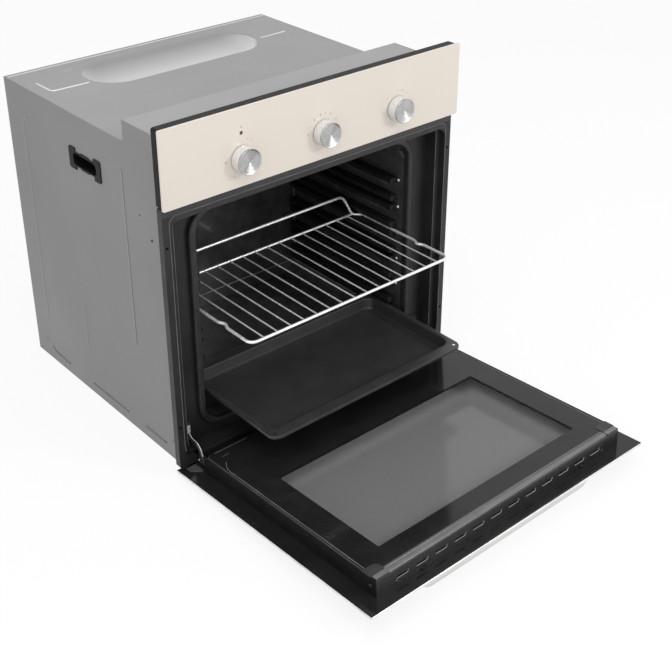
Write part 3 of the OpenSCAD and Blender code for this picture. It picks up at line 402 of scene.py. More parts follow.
slotOfNode = {part["node"]: part["material_slot"] for part in frame["record"]["subparts"]}


def paint(piece, *names):
    piece.data.materials.clear()
    for name in names:
        piece.data.materials.append(materials[name])


for nodeName, node in nodes.items():
    for materialSlot in node.material_slots:
        materialSlot.material = materials[finishOfSlot[slotOfNode[nodeName]]]
print("materials made:", len(materials))

# ---------- tools for the pieces ----------

mergeReach = 0.00001  # vertices closer than this are one
nearly = 0.0001       # places closer than this are the same
overcut = 0.001       # how far a cutter reaches past what it cuts
straight = 0.9        # least part of an edge or normal along an axis that counts as along it
seed = 0.001          # size of the small plane that a path starts from
flatAngle = 1.5       # faces that meet at less, in degrees, are merged


def clearSelection():
    if bpy.context.object and bpy.context.object.mode != "OBJECT":
        bpy.ops.object.mode_set(mode="OBJECT")
    bpy.ops.object.select_all(action="DESELECT")


def only(piece):
    clearSelection()
    piece.select_set(True)
    bpy.context.view_layer.objects.active = piece


def named(piece, name):
    piece.name = name
    piece.data.name = name
    return piece


def settle(piece):
    only(piece)
    bpy.ops.object.transform_apply(location=True, rotation=True, scale=True)


def finishPiece(piece, body, slot, finish, *replaced):
    if finish:
        paint(piece, finish)
    settle(piece)
    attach(piece, body)
    if replaced:
        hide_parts(*replaced)
    return piece


def applyModifier(piece, kind, **settings):
    only(piece)
    modifier = piece.modifiers.new(kind.lower(), kind)
    for key, value in settings.items():
        setattr(modifier, key, value)
    bpy.ops.object.modifier_apply(modifier=modifier.name)


def smooth(piece, angle=35, weighted=True):
    only(piece)
    bpy.ops.object.shade_smooth_by_angle(angle=math.radians(angle))
    if weighted:
        applyModifier(piece, "WEIGHTED_NORMAL", keep_sharp=True)


def roundEdges(piece, width, segments=2, angle=35):
    applyModifier(piece, "BEVEL", width=width, segments=segments, limit_method="ANGLE",
                  angle_limit=math.radians(angle), use_clamp_overlap=True)
    smooth(piece, angle)


def pick(piece, kind, test):
    # in edit mode: selects the faces, edges or vertices whose middle passes the test
    bpy.ops.mesh.select_all(action="DESELECT")
    mesh = bmesh.from_edit_mesh(piece.data)
    if kind == "FACE":
        found = [f for f in mesh.faces if test(f.calc_center_median(), f.normal)]
    elif kind == "EDGE":
        found = [e for e in mesh.edges if test((e.verts[0].co + e.verts[1].co) / 2,
                                               (e.verts[1].co - e.verts[0].co).normalized())]
    else:
        found = [v for v in mesh.verts if test(v.co, v.normal)]
    bpy.ops.mesh.select_mode(type="VERT" if kind == "VERTEX" else kind)
    for part in found:
        part.select_set(True)
    mesh.select_flush_mode()
    bmesh.update_edit_mesh(piece.data)


def bevelEdges(piece, width, segments, test):
    # rounds the edges that pass the test
    only(piece)
    bpy.ops.object.mode_set(mode="EDIT")
    pick(piece, "EDGE", test)
    bpy.ops.mesh.bevel(offset=width, segments=segments)
    bpy.ops.object.mode_set(mode="OBJECT")


def paintFaces(piece, *tests):
    # the faces that pass a test get the piece's second finish, or its third for a second test
    only(piece)
    bpy.ops.object.mode_set(mode="EDIT")
    for index, test in enumerate(tests):
        pick(piece, "FACE", test)
        piece.active_material_index = index + 1
        bpy.ops.object.material_slot_assign()
    bpy.ops.object.mode_set(mode="OBJECT")


def nodeCopy(name, *nodeNames):
    # a copy of CAD nodes, its loose triangles merged to whole faces
    clearSelection()
    for nodeName in nodeNames:
        nodes[nodeName].select_set(True)
    bpy.context.view_layer.objects.active = nodes[nodeNames[0]]
    bpy.ops.object.duplicate()
    if len(nodeNames) > 1:
        bpy.ops.object.join()
    piece = bpy.context.view_layer.objects.active
    piece.parent = None
    piece.matrix_world = Matrix.Identity(4)
    for key in list(piece.keys()):
        del piece[key]
    named(piece, name)
    bpy.ops.object.mode_set(mode="EDIT")
    bpy.ops.mesh.select_all(action="SELECT")
    bpy.ops.mesh.remove_doubles(threshold=mergeReach)
    bpy.ops.mesh.dissolve_limited(angle_limit=math.radians(flatAngle))
    bpy.ops.object.mode_set(mode="OBJECT")
    return piece


def boxPiece(name, low, high):
    clearSelection()
    centre = [(a + b) / 2 for a, b in zip(low, high)]
    bpy.ops.mesh.primitive_cube_add(size=1, location=centre)
    piece = named(bpy.context.active_object, name)
    bpy.ops.transform.resize(value=[abs(b - a) for a, b in zip(low, high)], center_override=centre)
    settle(piece)
    return piece


def rodPiece(name, start, end, radius, sides=24):
    clearSelection()
    along = Vector(end) - Vector(start)
    bpy.ops.mesh.primitive_cylinder_add(vertices=sides, radius=radius, depth=along.length,
                                        location=(Vector(start) + Vector(end)) / 2,
                                        rotation=along.to_track_quat("Z", "Y").to_euler())
    piece = named(bpy.context.active_object, name)
    settle(piece)
    return piece


def joined(name, pieces):
    only(pieces[0])
    for piece in pieces:
        piece.select_set(True)
    if len(pieces) > 1:
        bpy.ops.object.join()
    return named(bpy.context.view_layer.objects.active, name)


def combine(piece, others, operation="DIFFERENCE"):
    # takes the others' shapes out of a piece, or adds them to it
    for other in others:
        applyModifier(piece, "BOOLEAN", operation=operation, object=other, solver="EXACT")
        bpy.data.objects.remove(other)


def drawPath(name, points):
    # edges from point to point, left in edit mode
    clearSelection()
    bpy.ops.mesh.primitive_plane_add(size=seed, location=(0, 0, 0))
    piece = named(bpy.context.active_object, name)
    bpy.ops.object.mode_set(mode="EDIT")
    bpy.ops.mesh.select_mode(type="VERT")
    bpy.ops.mesh.select_all(action="SELECT")
    bpy.ops.mesh.merge(type="CENTER")
    last = Vector((0, 0, 0))
    for index, point in enumerate(points):
        step = Vector(point) - last
        if index == 0:
            bpy.ops.transform.translate(value=step)
        else:
            bpy.ops.mesh.extrude_region_move(TRANSFORM_OT_translate={"value": step})
        last = Vector(point)
    return piece


def turnedPiece(name, profile, centre, axis="Y", steps=64):
    # one outline of (radius, place along the axis) spun round an axis
    piece = drawPath(name, [(radius, along, 0) if axis == "Y" else (radius, 0, along) for radius, along in profile])
    bpy.ops.mesh.select_all(action="SELECT")
    bpy.ops.mesh.spin(steps=steps, angle=2 * math.pi, center=(0, 0, 0),
                      axis=(0, 1, 0) if axis == "Y" else (0, 0, 1))
    bpy.ops.mesh.select_all(action="SELECT")
    bpy.ops.mesh.remove_doubles(threshold=mergeReach)
    bpy.ops.mesh.normals_make_consistent(inside=False)
    bpy.ops.object.mode_set(mode="OBJECT")
    piece.location = centre
    settle(piece)
    return piece


def pickLoops(piece, *loops):
    # in edit mode: selects the edges that lie in one of the loops, each given as a range of vertices
    bpy.ops.mesh.select_all(action="DESELECT")
    mesh = bmesh.from_edit_mesh(piece.data)
    for edge in mesh.edges:
        if any(all(start <= v.index < stop for v in edge.verts) for start, stop in loops):
            edge.select_set(True)
    bmesh.update_edit_mesh(piece.data)


def ringedPiece(name, rings, segments=6, closed=False, caps=(False, False), plane="XZ"):
    # rounded outlines, each (low, high, radius, depth) in its plane, bridged one after another
    def laid(across, up, depth):
        return (across, depth, up) if plane == "XZ" else (across, up, depth)
    clearSelection()
    bpy.ops.mesh.primitive_plane_add(size=1, location=(0, 0, 0))
    piece = named(bpy.context.active_object, name)
    bpy.ops.object.mode_set(mode="EDIT")
    bpy.ops.mesh.select_all(action="SELECT")
    bpy.ops.mesh.delete(type="VERT")
    loops = []
    for low, high, radius, depth in rings:
        place = laid((low[0] + high[0]) / 2, (low[1] + high[1]) / 2, depth)
        bpy.ops.mesh.primitive_plane_add(size=1, location=place,
                                         rotation=(math.pi / 2, 0, 0) if plane == "XZ" else (0, 0, 0))
        bpy.ops.transform.resize(value=laid(high[0] - low[0], high[1] - low[1], 1), center_override=place)
        bpy.ops.mesh.bevel(offset=radius, segments=segments, affect="VERTICES", clamp_overlap=False)
        bpy.ops.mesh.delete(type="ONLY_FACE")
        loops.append((loops[-1][1] if loops else 0, len(bmesh.from_edit_mesh(piece.data).verts)))
    bpy.ops.mesh.select_mode(type="EDGE")
    for first, second in list(zip(loops, loops[1:])) + ([(loops[-1], loops[0])] if closed else []):
        pickLoops(piece, first, second)
        bpy.ops.mesh.bridge_edge_loops()
    for cap, loop in zip(caps, (loops[0], loops[-1])):
        if cap:
            pickLoops(piece, loop)
            bpy.ops.mesh.edge_face_add()
    bpy.ops.mesh.select_all(action="SELECT")
    bpy.ops.mesh.normals_make_consistent(inside=False)
    bpy.ops.object.mode_set(mode="OBJECT")
    return piece


def wirePiece(name, points, radius, bend=0.0, sides=3):
    # a path of points with rounded bends, made a round wire
    piece = drawPath(name, points)
    if bend and len(points) > 2:
        ends = [Vector(points[0]), Vector(points[-1])]
        pick(piece, "VERTEX", lambda place, normal: all((place - end).length > mergeReach for end in ends))
        bpy.ops.mesh.bevel(offset=bend, segments=5, affect="VERTICES")
    bpy.ops.object.mode_set(mode="OBJECT")
    only(piece)
    bpy.ops.object.convert(target="CURVE")
    piece = bpy.context.active_object
    piece.data.bevel_depth = radius
    piece.data.bevel_resolution = sides
    piece.data.use_fill_caps = True
    bpy.ops.object.convert(target="MESH")
    piece = named(bpy.context.active_object, name)
    smooth(piece, 50, False)
    return piece


def onDoor(piece):
    # turns a piece drawn on the closed door down with the open one
    only(piece)
    piece.matrix_world = (Matrix.Translation(doorPivot) @ Matrix.Rotation(doorAngle, 4, "X")
                          @ Matrix.Translation(-doorPivot)) @ piece.matrix_world
    settle(piece)
    return piece


def at(y):
    return frontY + y


# ---------- softened copies of the CAD nodes ----------

softEdges = {
    # piece name, nodes, edge width in metres, segments, body, finish
    "sidePanels": (("side_panel_left", "side_panel_right"), 0.0006, 2, "oven", "casingSteel"),
    "controlBoxCover": (("control_box_cover",), 0.0010, 2, "oven", "boxSteel"),
    "rearPanel": (("rear_panel",), 0.0003, 1, "oven", "casingSteel"),
    "basePlate": (("base_plate",), 0.0003, 1, "oven", "casingSteel"),
    "frontFrame": (("front_frame",), 0.0012, 3, "oven", "blackFrame"),
    "shelfRibs": (("shelf_ribs_left", "shelf_ribs_right"), 0.0035, 3, "oven", "ribEnamel"),
    "cavityRoof": (("cavity_roof",), 0.0003, 1, "oven", "cavityEnamel"),
    "cavityFloor": (("cavity_floor",), 0.0003, 1, "oven", "cavityEnamel"),
    "fasciaSupport": (("fascia_support",), 0.0012, 2, "oven", "blackPlastic"),
    "panelGlass": (("control_panel_glass",), 0.0007, 2, "oven", "creamGlass"),
    "hingeBrackets": (("hinge_bracket_left", "hinge_bracket_right"), 0.0006, 2, "oven", "armSteel"),
    "hingeLeaves": (("hinge_leaf_left", "hinge_leaf_right"), 0.0006, 2, "door", "armSteel"),
    "hingePins": (("hinge_pin_left", "hinge_pin_right"), 0.0006, 2, "oven", "brightSteel"),
    "handleBolts": (("handle_bolts",), 0.0006, 2, "door", "boltSteel"),
    "doorBottomRail": (("door_bottom_rail",), 0.0006, 2, "door", "blackPlastic"),
    "doorSideProfiles": (("door_side_profile_left", "door_side_profile_right"), 0.0007, 2, "door", "blackPlastic"),
    "doorHandle": (("door_handle",), 0.0042, 4, "door", "handleMetal"),
    "grillElement": (("grill_element",), 0.0003, 1, "oven", "elementSteel"),
    "lampLens": (("lamp_lens",), 0.0012, 3, "oven", "clearGlass"),
    "terminalBox": (("terminal_box",), 0.0008, 2, "oven", "blackPlastic"),
    "cableGland": (("cable_gland",), 0.0008, 2, "oven", "blackPlastic"),
}


def softCopy(name, nodeNames, width, segments, body, finish):
    piece = nodeCopy(name, *nodeNames)
    roundEdges(piece, width, segments)
    return finishPiece(piece, body, slotOfNode[nodeNames[0]], finish, *nodeNames)


for softName, softValues in softEdges.items():
    softCopy(softName, *softValues)
print("softened copies made:", len(softEdges))

# ---------- hand grips ----------

gripForm = {"y": 0.235, "z": 0.463, "face": 0.2766, "floor": 0.2540, "halfLong": 0.048, "halfHigh": 0.019,
            "corner": 0.0045, "bulge": 0.0125, "blockIn": 0.028, "narrow": 0.0122, "middle": 0.014,
            "fill": (0.0425, 0.0098), "mouth": (0.035, 0.0102), "mouthDeep": 0.022, "mouthCorner": 0.0075,
            "overlap": 0.00005, "round": 0.0005}


def makeGrip(values, side, nodeName):
    # two rounded end blocks, a strip with a wider middle and a pocket with rounded ends
    piece = nodeCopy("handGrip", nodeName)
    y, z = at(values["y"]), values["z"]
    low, high = sorted((side * values["floor"], side * values["face"]))
    bevelEdges(piece, values["corner"], 5, lambda place, along: abs(along.x) > straight
               and abs(place.y - y) > values["halfLong"] - nearly and abs(place.z - z) > values["halfHigh"] - nearly)
    halfY, halfZ = values["fill"]
    combine(piece, [boxPiece("gripFill", (low, y - halfY, z - halfZ), (high, y + halfY, z + halfZ))], "UNION")
    cutters = []
    for end in (-1, 1):
        for edge in (-1, 1):
            y0, z0 = y + end * values["bulge"], z + edge * values["narrow"]
            y1 = y + end * (values["blockIn"] + values["overlap"])
            z1 = z + edge * (values["middle"] + overcut)
            cutters.append(boxPiece("gripTrim", (low - overcut, y0, z0), (high + overcut, y1, z1)))
    halfY, halfZ = values["mouth"]
    mouth = ringedPiece("gripMouth", [((-halfY, z - halfZ), (halfY, z + halfZ), values["mouthCorner"], depth)
                                      for depth in (0.0, values["mouthDeep"])], 8, caps=(True, True))
    mouth.matrix_world = (Matrix.Translation((side * (values["face"] + overcut), y, 0))
                          @ Matrix.Rotation(math.radians(90 * side), 4, "Z"))
    settle(mouth)
    combine(piece, cutters + [mouth])
    roundEdges(piece, values["round"], 2)
    return piece


def makeGrips(values):
    gripNodes = ("hand_grip_left", "hand_grip_right")
    parts = [makeGrip(values, side, nodeName) for side, nodeName in zip((-1, 1), gripNodes)]
    return finishPiece(joined("handGrips", parts), "oven", "black_plastic", "blackPlastic", *gripNodes)


makeGrips(gripForm)
print("hand grips made")

# ---------- top cover with its pocket ----------

topSheet = {"x": 0.2738, "y0": 0.112, "y1": 0.4888, "z": 0.540, "thick": 0.0012, "corner": 0.0006,
            # how far the pocket's finish reaches past it, sideways, before and behind, and how far under the top
            "pocketPast": (0.002, 0.002, 0.006), "pocketUnder": 0.0004,
            "pocketX": 0.172, "pocketY0": 0.331, "pocketY1": 0.446,
            # inset of the pocket's outline at its ends, its front and its back, and the height under the top
            "wall": ((-0.004, -0.0015, -0.008, 0.0), (-0.001, 0.0, -0.002, 0.0008), (0.001, 0.0008, 0.006, 0.0034),
                     (0.003, 0.0012, 0.016, 0.0078), (0.007, 0.0020, 0.028, 0.0130), (0.013, 0.0040, 0.042, 0.0180),
                     (0.021, 0.0090, 0.056, 0.0212), (0.028, 0.0160, 0.066, 0.0219)),
            "dimple": (-0.176, 0.441), "dimpleRadius": 0.011, "dimpleThick": 0.0006, "dimpleCut": 0.003,
            # radius and depth of the dimple pressed beside the pocket
            "dimpleForm": ((0.0112, -0.00005), (0.0104, 0.0003), (0.0092, 0.0012), (0.0076, 0.0024), (0.0055, 0.0034),
                           (0.0030, 0.0040), (0.0, 0.0042))}


def makeTopCover(values):
    rings = [((-values["x"], at(values["y0"])), (values["x"], at(values["y1"])), values["corner"], values["z"])]
    for ends, front, back, drop in values["wall"]:
        low = (-values["pocketX"] + ends, at(values["pocketY0"]) + front)
        high = (values["pocketX"] - ends, at(values["pocketY1"]) - back)
        rings.append((low, high, (high[1] - low[1]) / 2 - nearly, values["z"] - drop))
    piece = ringedPiece("topCover", rings, 24, caps=(False, True), plane="XY")
    applyModifier(piece, "SOLIDIFY", thickness=values["thick"], offset=-1.0, use_even_offset=True)
    x, y = values["dimple"]
    combine(piece, [rodPiece("dimpleHole", (x, at(y), values["z"] - values["dimpleCut"]),
                             (x, at(y), values["z"] + overcut), values["dimpleRadius"], 48)])
    # the pocket's faces get the painted light, lighter towards its front wall
    paint(piece, "topSteel", "pocketPaintedSheen")
    side, before, behind = values["pocketPast"]
    paintFaces(piece, lambda place, normal: place.z < values["z"] - values["pocketUnder"] and normal.z > 0.05
               and abs(place.x) < values["pocketX"] + side
               and at(values["pocketY0"]) - before < place.y < at(values["pocketY1"]) + behind)
    smooth(piece, 40)
    finishPiece(piece, "oven", "top_steel", None, "top_cover")
    bowl = turnedPiece("topDimple", [(radius, -depth) for radius, depth in values["dimpleForm"]],
                       (x, at(y), values["z"]), axis="Z", steps=48)
    applyModifier(bowl, "SOLIDIFY", thickness=values["dimpleThick"], offset=0.0)
    smooth(bowl, 60, False)
    # painted light: the dimple's bowl is painted a lighter steel than the cover round it
    finishPiece(bowl, "oven", "top_steel", "dimpleLitSteel")


makeTopCover(topSheet)
print("top cover made")

# ---------- door gasket ----------

gasketForm = {"innerX": 0.222, "innerZ0": 0.058, "innerZ1": 0.438, "radius": 0.036,
              # place across the band from its inner edge, and depth, all round its section
              "section": ((0.0, 0.0220), (0.0, 0.0150), (0.0012, 0.0132), (0.0035, 0.0126), (0.0060, 0.0124),
                          (0.0085, 0.0128), (0.0107, 0.0138), (0.0120, 0.0160), (0.0120, 0.0220))}


def makeGasket(values):
    rings = []
    for across, depth in values["section"]:
        rings.append(((-values["innerX"] - across, values["innerZ0"] - across),
                      (values["innerX"] + across, values["innerZ1"] + across), values["radius"] + across, at(depth)))
    piece = ringedPiece("doorGasket", rings, 14, closed=True)
    smooth(piece, 50)
    return finishPiece(piece, "oven", "rubber", "sealRubber", "door_gasket")


makeGasket(gasketForm)
print("gasket made")

# ---------- knobs ----------

knobForm = {"back": 0.0228, "length": 0.020, "radius": 0.0205, "z": 0.524,
            # radius and distance from the back of the knob
            "profile": ((0.0, 0.0160), (0.00305, 0.0160), (0.00305, 0.0), (0.0196, 0.0), (0.0202, 0.0003),
                        (0.0205, 0.0010), (0.0205, 0.0158), (0.0203, 0.0163), (0.0195, 0.0166), (0.0195, 0.0177),
                        (0.0203, 0.0180), (0.0205, 0.0184), (0.0204, 0.0196), (0.0201, 0.01995), (0.0196, 0.0199),
                        (0.0184, 0.0193), (0.0180, 0.0190)),
            # the turned face: grooves of one pitch and depth, from the rim in to the centre
            "grooves": 22, "grooveDeep": 0.00016, "dish": 0.0011,
            "notchWide": 0.0014, "notchDeep": 0.0035, "notchBack": 0.0045, "bright": 0.0012,
            "body": ("temperature_control", "function_control", "timer_control"),
            "node": ("temperature_knob", "function_knob", "timer_knob"), "x": (-0.156, 0.0, 0.156)}
knobMetal = {"tones": ((0.47, 0.47, 0.465), (0.50, 0.50, 0.495)), "mottle": 260, "rough": (0.24, 0.27),
             "grain": 300, "rings": 260, "waver": 0.6, "bump": 0.05, "bumpHigh": 0.00005, "anisotropic": 0.7}


def makeKnob(values, index):
    name = values["node"][index].split("_")[0] + "Knob"
    centre = (values["x"][index], at(-values["back"]), values["z"])
    outline = [(radius, -along) for radius, along in values["profile"]]
    rim, face = values["profile"][-1]
    for step in range(1, 2 * values["grooves"] + 1):
        part = step / (2 * values["grooves"])
        depth = values["grooveDeep"] if step % 2 else 0.0
        outline.append((rim * (1 - part), -(face - values["dish"] * part - depth)))
    piece = turnedPiece(name, outline, centre, steps=96)
    top = centre[2] + values["radius"]
    faceY = centre[1] - values["length"]
    notch = boxPiece("notch", (centre[0] - values["notchWide"] / 2, faceY - overcut, top - values["notchDeep"]),
                     (centre[0] + values["notchWide"] / 2, faceY + values["notchBack"], top + overcut))
    combine(piece, [notch])
    smooth(piece, 30)
    material = name + "Metal"
    makeTurnedMetal(material, centre, knobMetal)
    paint(piece, material, "knobSide")
    paintFaces(piece, lambda place, normal: abs(normal.y) < 0.5 and place.y > faceY + values["bright"])
    return finishPiece(piece, values["body"][index], "knob_metal", None, values["node"][index])


for knobIndex in range(3):
    makeKnob(knobForm, knobIndex)
print("knobs made")

# ---------- door glasses ----------

glassForm = {"outerX": 0.2975, "outerZ0": 0.008, "outerZ1": 0.476, "outerY0": -0.022, "outerY1": -0.018,
             "innerX": 0.264, "innerZ0": 0.046, "innerZ1": 0.440, "innerY0": 0.008, "innerY1": 0.012,
             "innerCorner": 0.012, "outerCorner": 0.0015, "edge": 0.0007,
             "windowX": 0.214, "windowZ0": 0.172, "windowZ1": 0.400}


def plateRings(x, z0, z1, corner, y0, y1, edge):
    # a glass plate's outlines, its edges ground to a small chamfer
    def ring(inset, y):
        return ((-x + inset, z0 + inset), (x - inset, z1 - inset), corner - inset, at(y))
    return [ring(edge, y0), ring(0.0, y0 + edge), ring(0.0, y1 - edge), ring(edge, y1)]


def makeOuterGlass(values):
    rings = plateRings(values["outerX"], values["outerZ0"], values["outerZ1"], values["outerCorner"],
                       values["outerY0"], values["outerY1"], values["edge"])
    piece = ringedPiece("doorOuterGlass", rings, 4, caps=(True, True))
    paint(piece, "dottedGlass", "glassEdge", "dottedGlassBack")
    paintFaces(piece, lambda place, normal: abs(normal.y) < straight, lambda place, normal: normal.y > straight)
    smooth(piece, 30)
    return finishPiece(onDoor(piece), "door", "black_glass", None, "door_outer_glass")


makeOuterGlass(glassForm)
print("outer glass made")

# ---------- pressed beads and seams of the casing with their painted highlights and shade, and dark discs painted for its small holes ---

beadForm = {"topRadius": 0.0022, "topSink": 0.0011, "sideRadius": 0.0016, "sideSink": 0.0010, "x": 0.2756, "z": 0.540,
            "topBend": 0.008, "sideBend": 0.007,
            # outlines on the top (x, y) and on the sides (y, z); y from the front of the casing
            "top": (((-0.250, 0.421), (-0.249, 0.371), (-0.181, 0.369)), ((0.181, 0.372), (0.241, 0.374))),
            "lip": ((-0.272, 0.4810), (0.272, 0.4810)), "lipRadius": 0.0014,
            "side": (((0.126, 0.180), (0.126, 0.490)), ((0.424, 0.484), (0.437, 0.478), (0.437, 0.084)),
                     ((0.293, 0.089), (0.293, 0.180))),
            "shade": (((0.434, 0.030), (0.428, 0.022), (0.372, 0.020)), ((0.289, 0.020), (0.174, 0.020)),
                      ((0.119, 0.020), (0.058, 0.020))),
            "hole": (0.052, 0.398), "holeRadius": 0.0022, "holeDeep": 0.001}


def makeBeads(values):
    height = values["z"] - values["topSink"]
    tops = [wirePiece("topBead", [(x, at(y), height) for x, y in path], values["topRadius"], values["topBend"], 4)
            for path in values["top"]]
    height = values["z"] - values["lipRadius"] * 0.5
    tops.append(wirePiece("topLip", [(x, at(y), height) for x, y in values["lip"]], values["lipRadius"], 0, 4))
    # painted highlight: the top beads and the rear lip are painted a bright steel
    finishPiece(joined("topBeads", tops), "oven", "top_steel", "beadHighlightSteel")
    place = values["x"] - values["sideSink"]
    # painted highlight and shade: the side beads get the top's lighter steel, and the seam lines a painted shade
    for key, finish in (("side", "topSteel"), ("shade", "seamShade")):
        lines = [wirePiece("sideBead", [(side * place, at(y), z) for y, z in path], values["sideRadius"],
                           values["sideBend"], 4)
                 for side in (-1, 1) for path in values[key]]
        finishPiece(joined(key + "Beads", lines), "oven", "casing_steel", finish)
    # painted shade: two dark discs on the sides stand for the shade inside two small holes
    y, z = values["hole"]
    holes = [rodPiece("sideHoleShade", (side * (values["x"] - values["holeDeep"]), at(y), z),
                      (side * (values["x"] + nearly), at(y), z), values["holeRadius"], 16) for side in (-1, 1)]
    finishPiece(joined("sideHoleShades", holes), "oven", "casing_steel", "sealRubber")


makeBeads(beadForm)
print("beads made")

# ---------- painted highlight along the folded edges of the frame's recess ---

# foot: how high the uprights end, and how far and how high their last bend leans in
foldHighlightForm = ({"x": 0.2712, "low": 0.0302, "high": 0.4533, "corner": 0.008, "y": -0.0012, "radius": 0.0007,
             "foot": (0.020, 0.002, 0.016)},
            {"x": 0.2832, "low": 0.0302, "high": 0.4636, "corner": 0.012, "y": -0.0120, "radius": 0.0008,
             "foot": (0.020, 0.002, 0.016)})
# thin bands over the frame's top: finish, half width, lower and upper edge
bandForm = {"y": (-0.0123, -0.0117), "round": 0.0002,
            "bands": (("frameBand", "sealRubber", 0.2815, 0.4542, 0.4632),
                      ("frameStrip", "stripEnamel", 0.2948, 0.4642, 0.4783))}


def makeFoldHighlight(folds):
    parts = []
    for values in folds:
        x, low, high, y = values["x"], values["low"], values["high"], at(values["y"])
        end, lean, leanUp = values["foot"]
        for side in (-1, 1):
            path = [(0.0, y, high), (side * x, y, high), (side * x, y, low + end),
                    (side * (x - lean), y, low + leanUp)]
            parts.append(wirePiece("frameFoldHighlight", path, values["radius"], values["corner"]))
    # the wires get a painted highlight's lighter grey
    return finishPiece(joined("frameFoldHighlight", parts), "oven", "black_frame", "foldHighlight")


def makeBands(values):
    for name, finish, x, low, high in values["bands"]:
        band = boxPiece(name, (-x, at(values["y"][0]), low), (x, at(values["y"][1]), high))
        roundEdges(band, values["round"], 1)
        finishPiece(band, "oven", "black_frame", finish)


makeFoldHighlight(foldHighlightForm)
makeBands(bandForm)
print("frame fold made")

# ---------- slotted top rail of the door ----------

railForm = {"x": 0.264, "z0": 0.426, "z1": 0.450, "y0": -0.018, "y1": 0.012, "wall": 0.002, "glass": 0.004,
            "seat": 0.0150, "gap": 0.0003, "round": 0.0042,
            "endX": 0.239, "endZ": 0.4411, "endIn": 0.003, "endRound": 0.0015, "proud": 0.0008,
            "slots": 12, "pitch": 0.0384, "shift": -0.004, "slotLong": 0.022, "slotY": (-0.0075, -0.004),
            "slotDeep": 0.004, "seatPast": 0.003,
            # how far the painted highlight along a slot's lip lies above the rail, stops short, and turns in along
            # the slot's end
            "lipUp": 0.00005, "lipShort": 0.001, "lipEnd": (0.0008, 0.0012), "lipBend": 0.0016, "lipRadius": 0.0007,
            "hole": (0.226, -0.011), "holeRadius": 0.0011, "holeZ": (-0.0005, 0.0003),
            "ledgeDeep": 0.003, "ledgeTilt": 0.75,
            "boltX": 0.176, "boltZ": 0.448, "boltRoom": 0.006, "boltDeep": 0.004,
            "screwZ": 0.440, "screwY": -0.003, "screwIn": 0.003, "screwRadius": 0.0018,
            "capX": (0.2392, 0.2668), "capY": (0.0121, 0.0130), "capZ": (0.4225, 0.4407), "capCorner": 0.009,
            "capRound": 0.0003, "seal": (0.2388, 0.0113, 0.4404), "sealRadius": 0.0006}


def makeRailBody(values, middles):
    x, wall, low, high = values["x"], values["wall"], values["z0"], values["z1"]
    front, back = at(values["y0"]), at(values["y1"])
    piece = boxPiece("doorTopRail", (-x, front, low), (x, back, high))
    bevelEdges(piece, values["round"], 7, lambda place, along: abs(along.x) > straight
               and place.z > high - nearly and place.y > back - nearly)
    for side in (-1, 1):
        block = boxPiece("railEnd", (side * values["endX"], back - values["endIn"], values["endZ"]),
                         (side * x, back + values["proud"], high))
        bevelEdges(block, values["endRound"], 3, lambda place, along: abs(along.x) > straight
                   and place.y > back + overcut)
        combine(piece, [block], "UNION")
    half = values["slotLong"] / 2
    cutters = [boxPiece("railHollow", (-x + wall, front - overcut, low - overcut),
                        (x - wall, back - wall - values["glass"], high - wall)),
               boxPiece("railSeat", (-x - overcut, back - values["glass"] - values["gap"], low - overcut),
                        (x + overcut, back + values["seatPast"], low + values["seat"]))]
    cutters += [boxPiece("railSlot", (middle - half, at(values["slotY"][0]), high - values["slotDeep"]),
                         (middle + half, at(values["slotY"][1]), high + overcut)) for middle in middles]
    room, screwY, screwZ = values["boltRoom"], at(values["screwY"]), values["screwZ"]
    for side in (-1, 1):
        boltX = side * values["boltX"]
        cutters.append(rodPiece("railScrewHole", (side * (x - values["screwIn"]), screwY, screwZ),
                                (side * (x + overcut), screwY, screwZ), values["screwRadius"], 16))
        cutters.append(boxPiece("railBoltRoom", (boltX - room, front - overcut, values["boltZ"] - room),
                                (boltX + room, front + values["boltDeep"], high + overcut)))
    combine(piece, cutters)
    return piece


def makeTopRail(values):
    high, half = values["z1"], values["slotLong"] / 2
    middles = [(index - (values["slots"] - 1) / 2) * values["pitch"] + values["shift"]
               for index in range(values["slots"])]
    piece = makeRailBody(values, middles)
    # painted highlights: light lines along the front and one end of each slot, and light rims round two small holes
    y, z = at(values["slotY"][0]), high + values["lipUp"]
    endX, endY = values["lipEnd"]
    lips = [wirePiece("slotLipHighlight", [(middle - half, y, z), (middle + half - values["lipShort"], y, z),
                                  (middle + half + endX, at(values["slotY"][1]) + endY, z)],
                      values["lipRadius"], values["lipBend"], 2) for middle in middles]
    (x, y), (under, over) = values["hole"], values["holeZ"]
    lips += [rodPiece("railHoleHighlight", (side * x, at(y), high + under), (side * x, at(y), high + over),
                      values["holeRadius"], 14) for side in (-1, 1)]
    lip = joined("railLipHighlights", lips)
    paint(lip, "lipHighlight")
    # painted light: the ledge's faces towards the glass get a lighter copy of the rail plastic
    paint(piece, "railPlastic", "railLedgeLit")
    paintFaces(piece, lambda place, normal: normal.y > values["ledgeTilt"]
               and place.y > at(values["y1"]) - values["ledgeDeep"])
    piece = joined("doorTopRail", [piece, lip])
    smooth(piece, 30)
    return finishPiece(onDoor(piece), "door", "black_plastic", None, "door_top_rail")


def makeCornerCaps(values):
    # flat caps over the corners of the inner glass, and the seal along the rail between them
    (near, far), (bottom, top), (low, high) = values["capX"], values["capY"], values["capZ"]
    caps = []
    for side in (-1, 1):
        cap = boxPiece("cornerCap", (side * near, at(bottom), low), (side * far, at(top), high))
        bevelEdges(cap, values["capCorner"], 6, lambda place, along: abs(along.y) > straight
                   and place.z < low + nearly and abs(place.x) < near + nearly)
        roundEdges(cap, values["capRound"], 2)
        caps.append(cap)
    finishPiece(onDoor(joined("cornerCaps", caps)), "door", "black_frame", "capPlastic")
    x, y, z = values["seal"]
    seal = rodPiece("railSeal", (-x, at(y), z), (x, at(y), z), values["sealRadius"], 12)
    smooth(seal, 40, False)
    finishPiece(onDoor(seal), "door", "black_frame", "sealRubber")


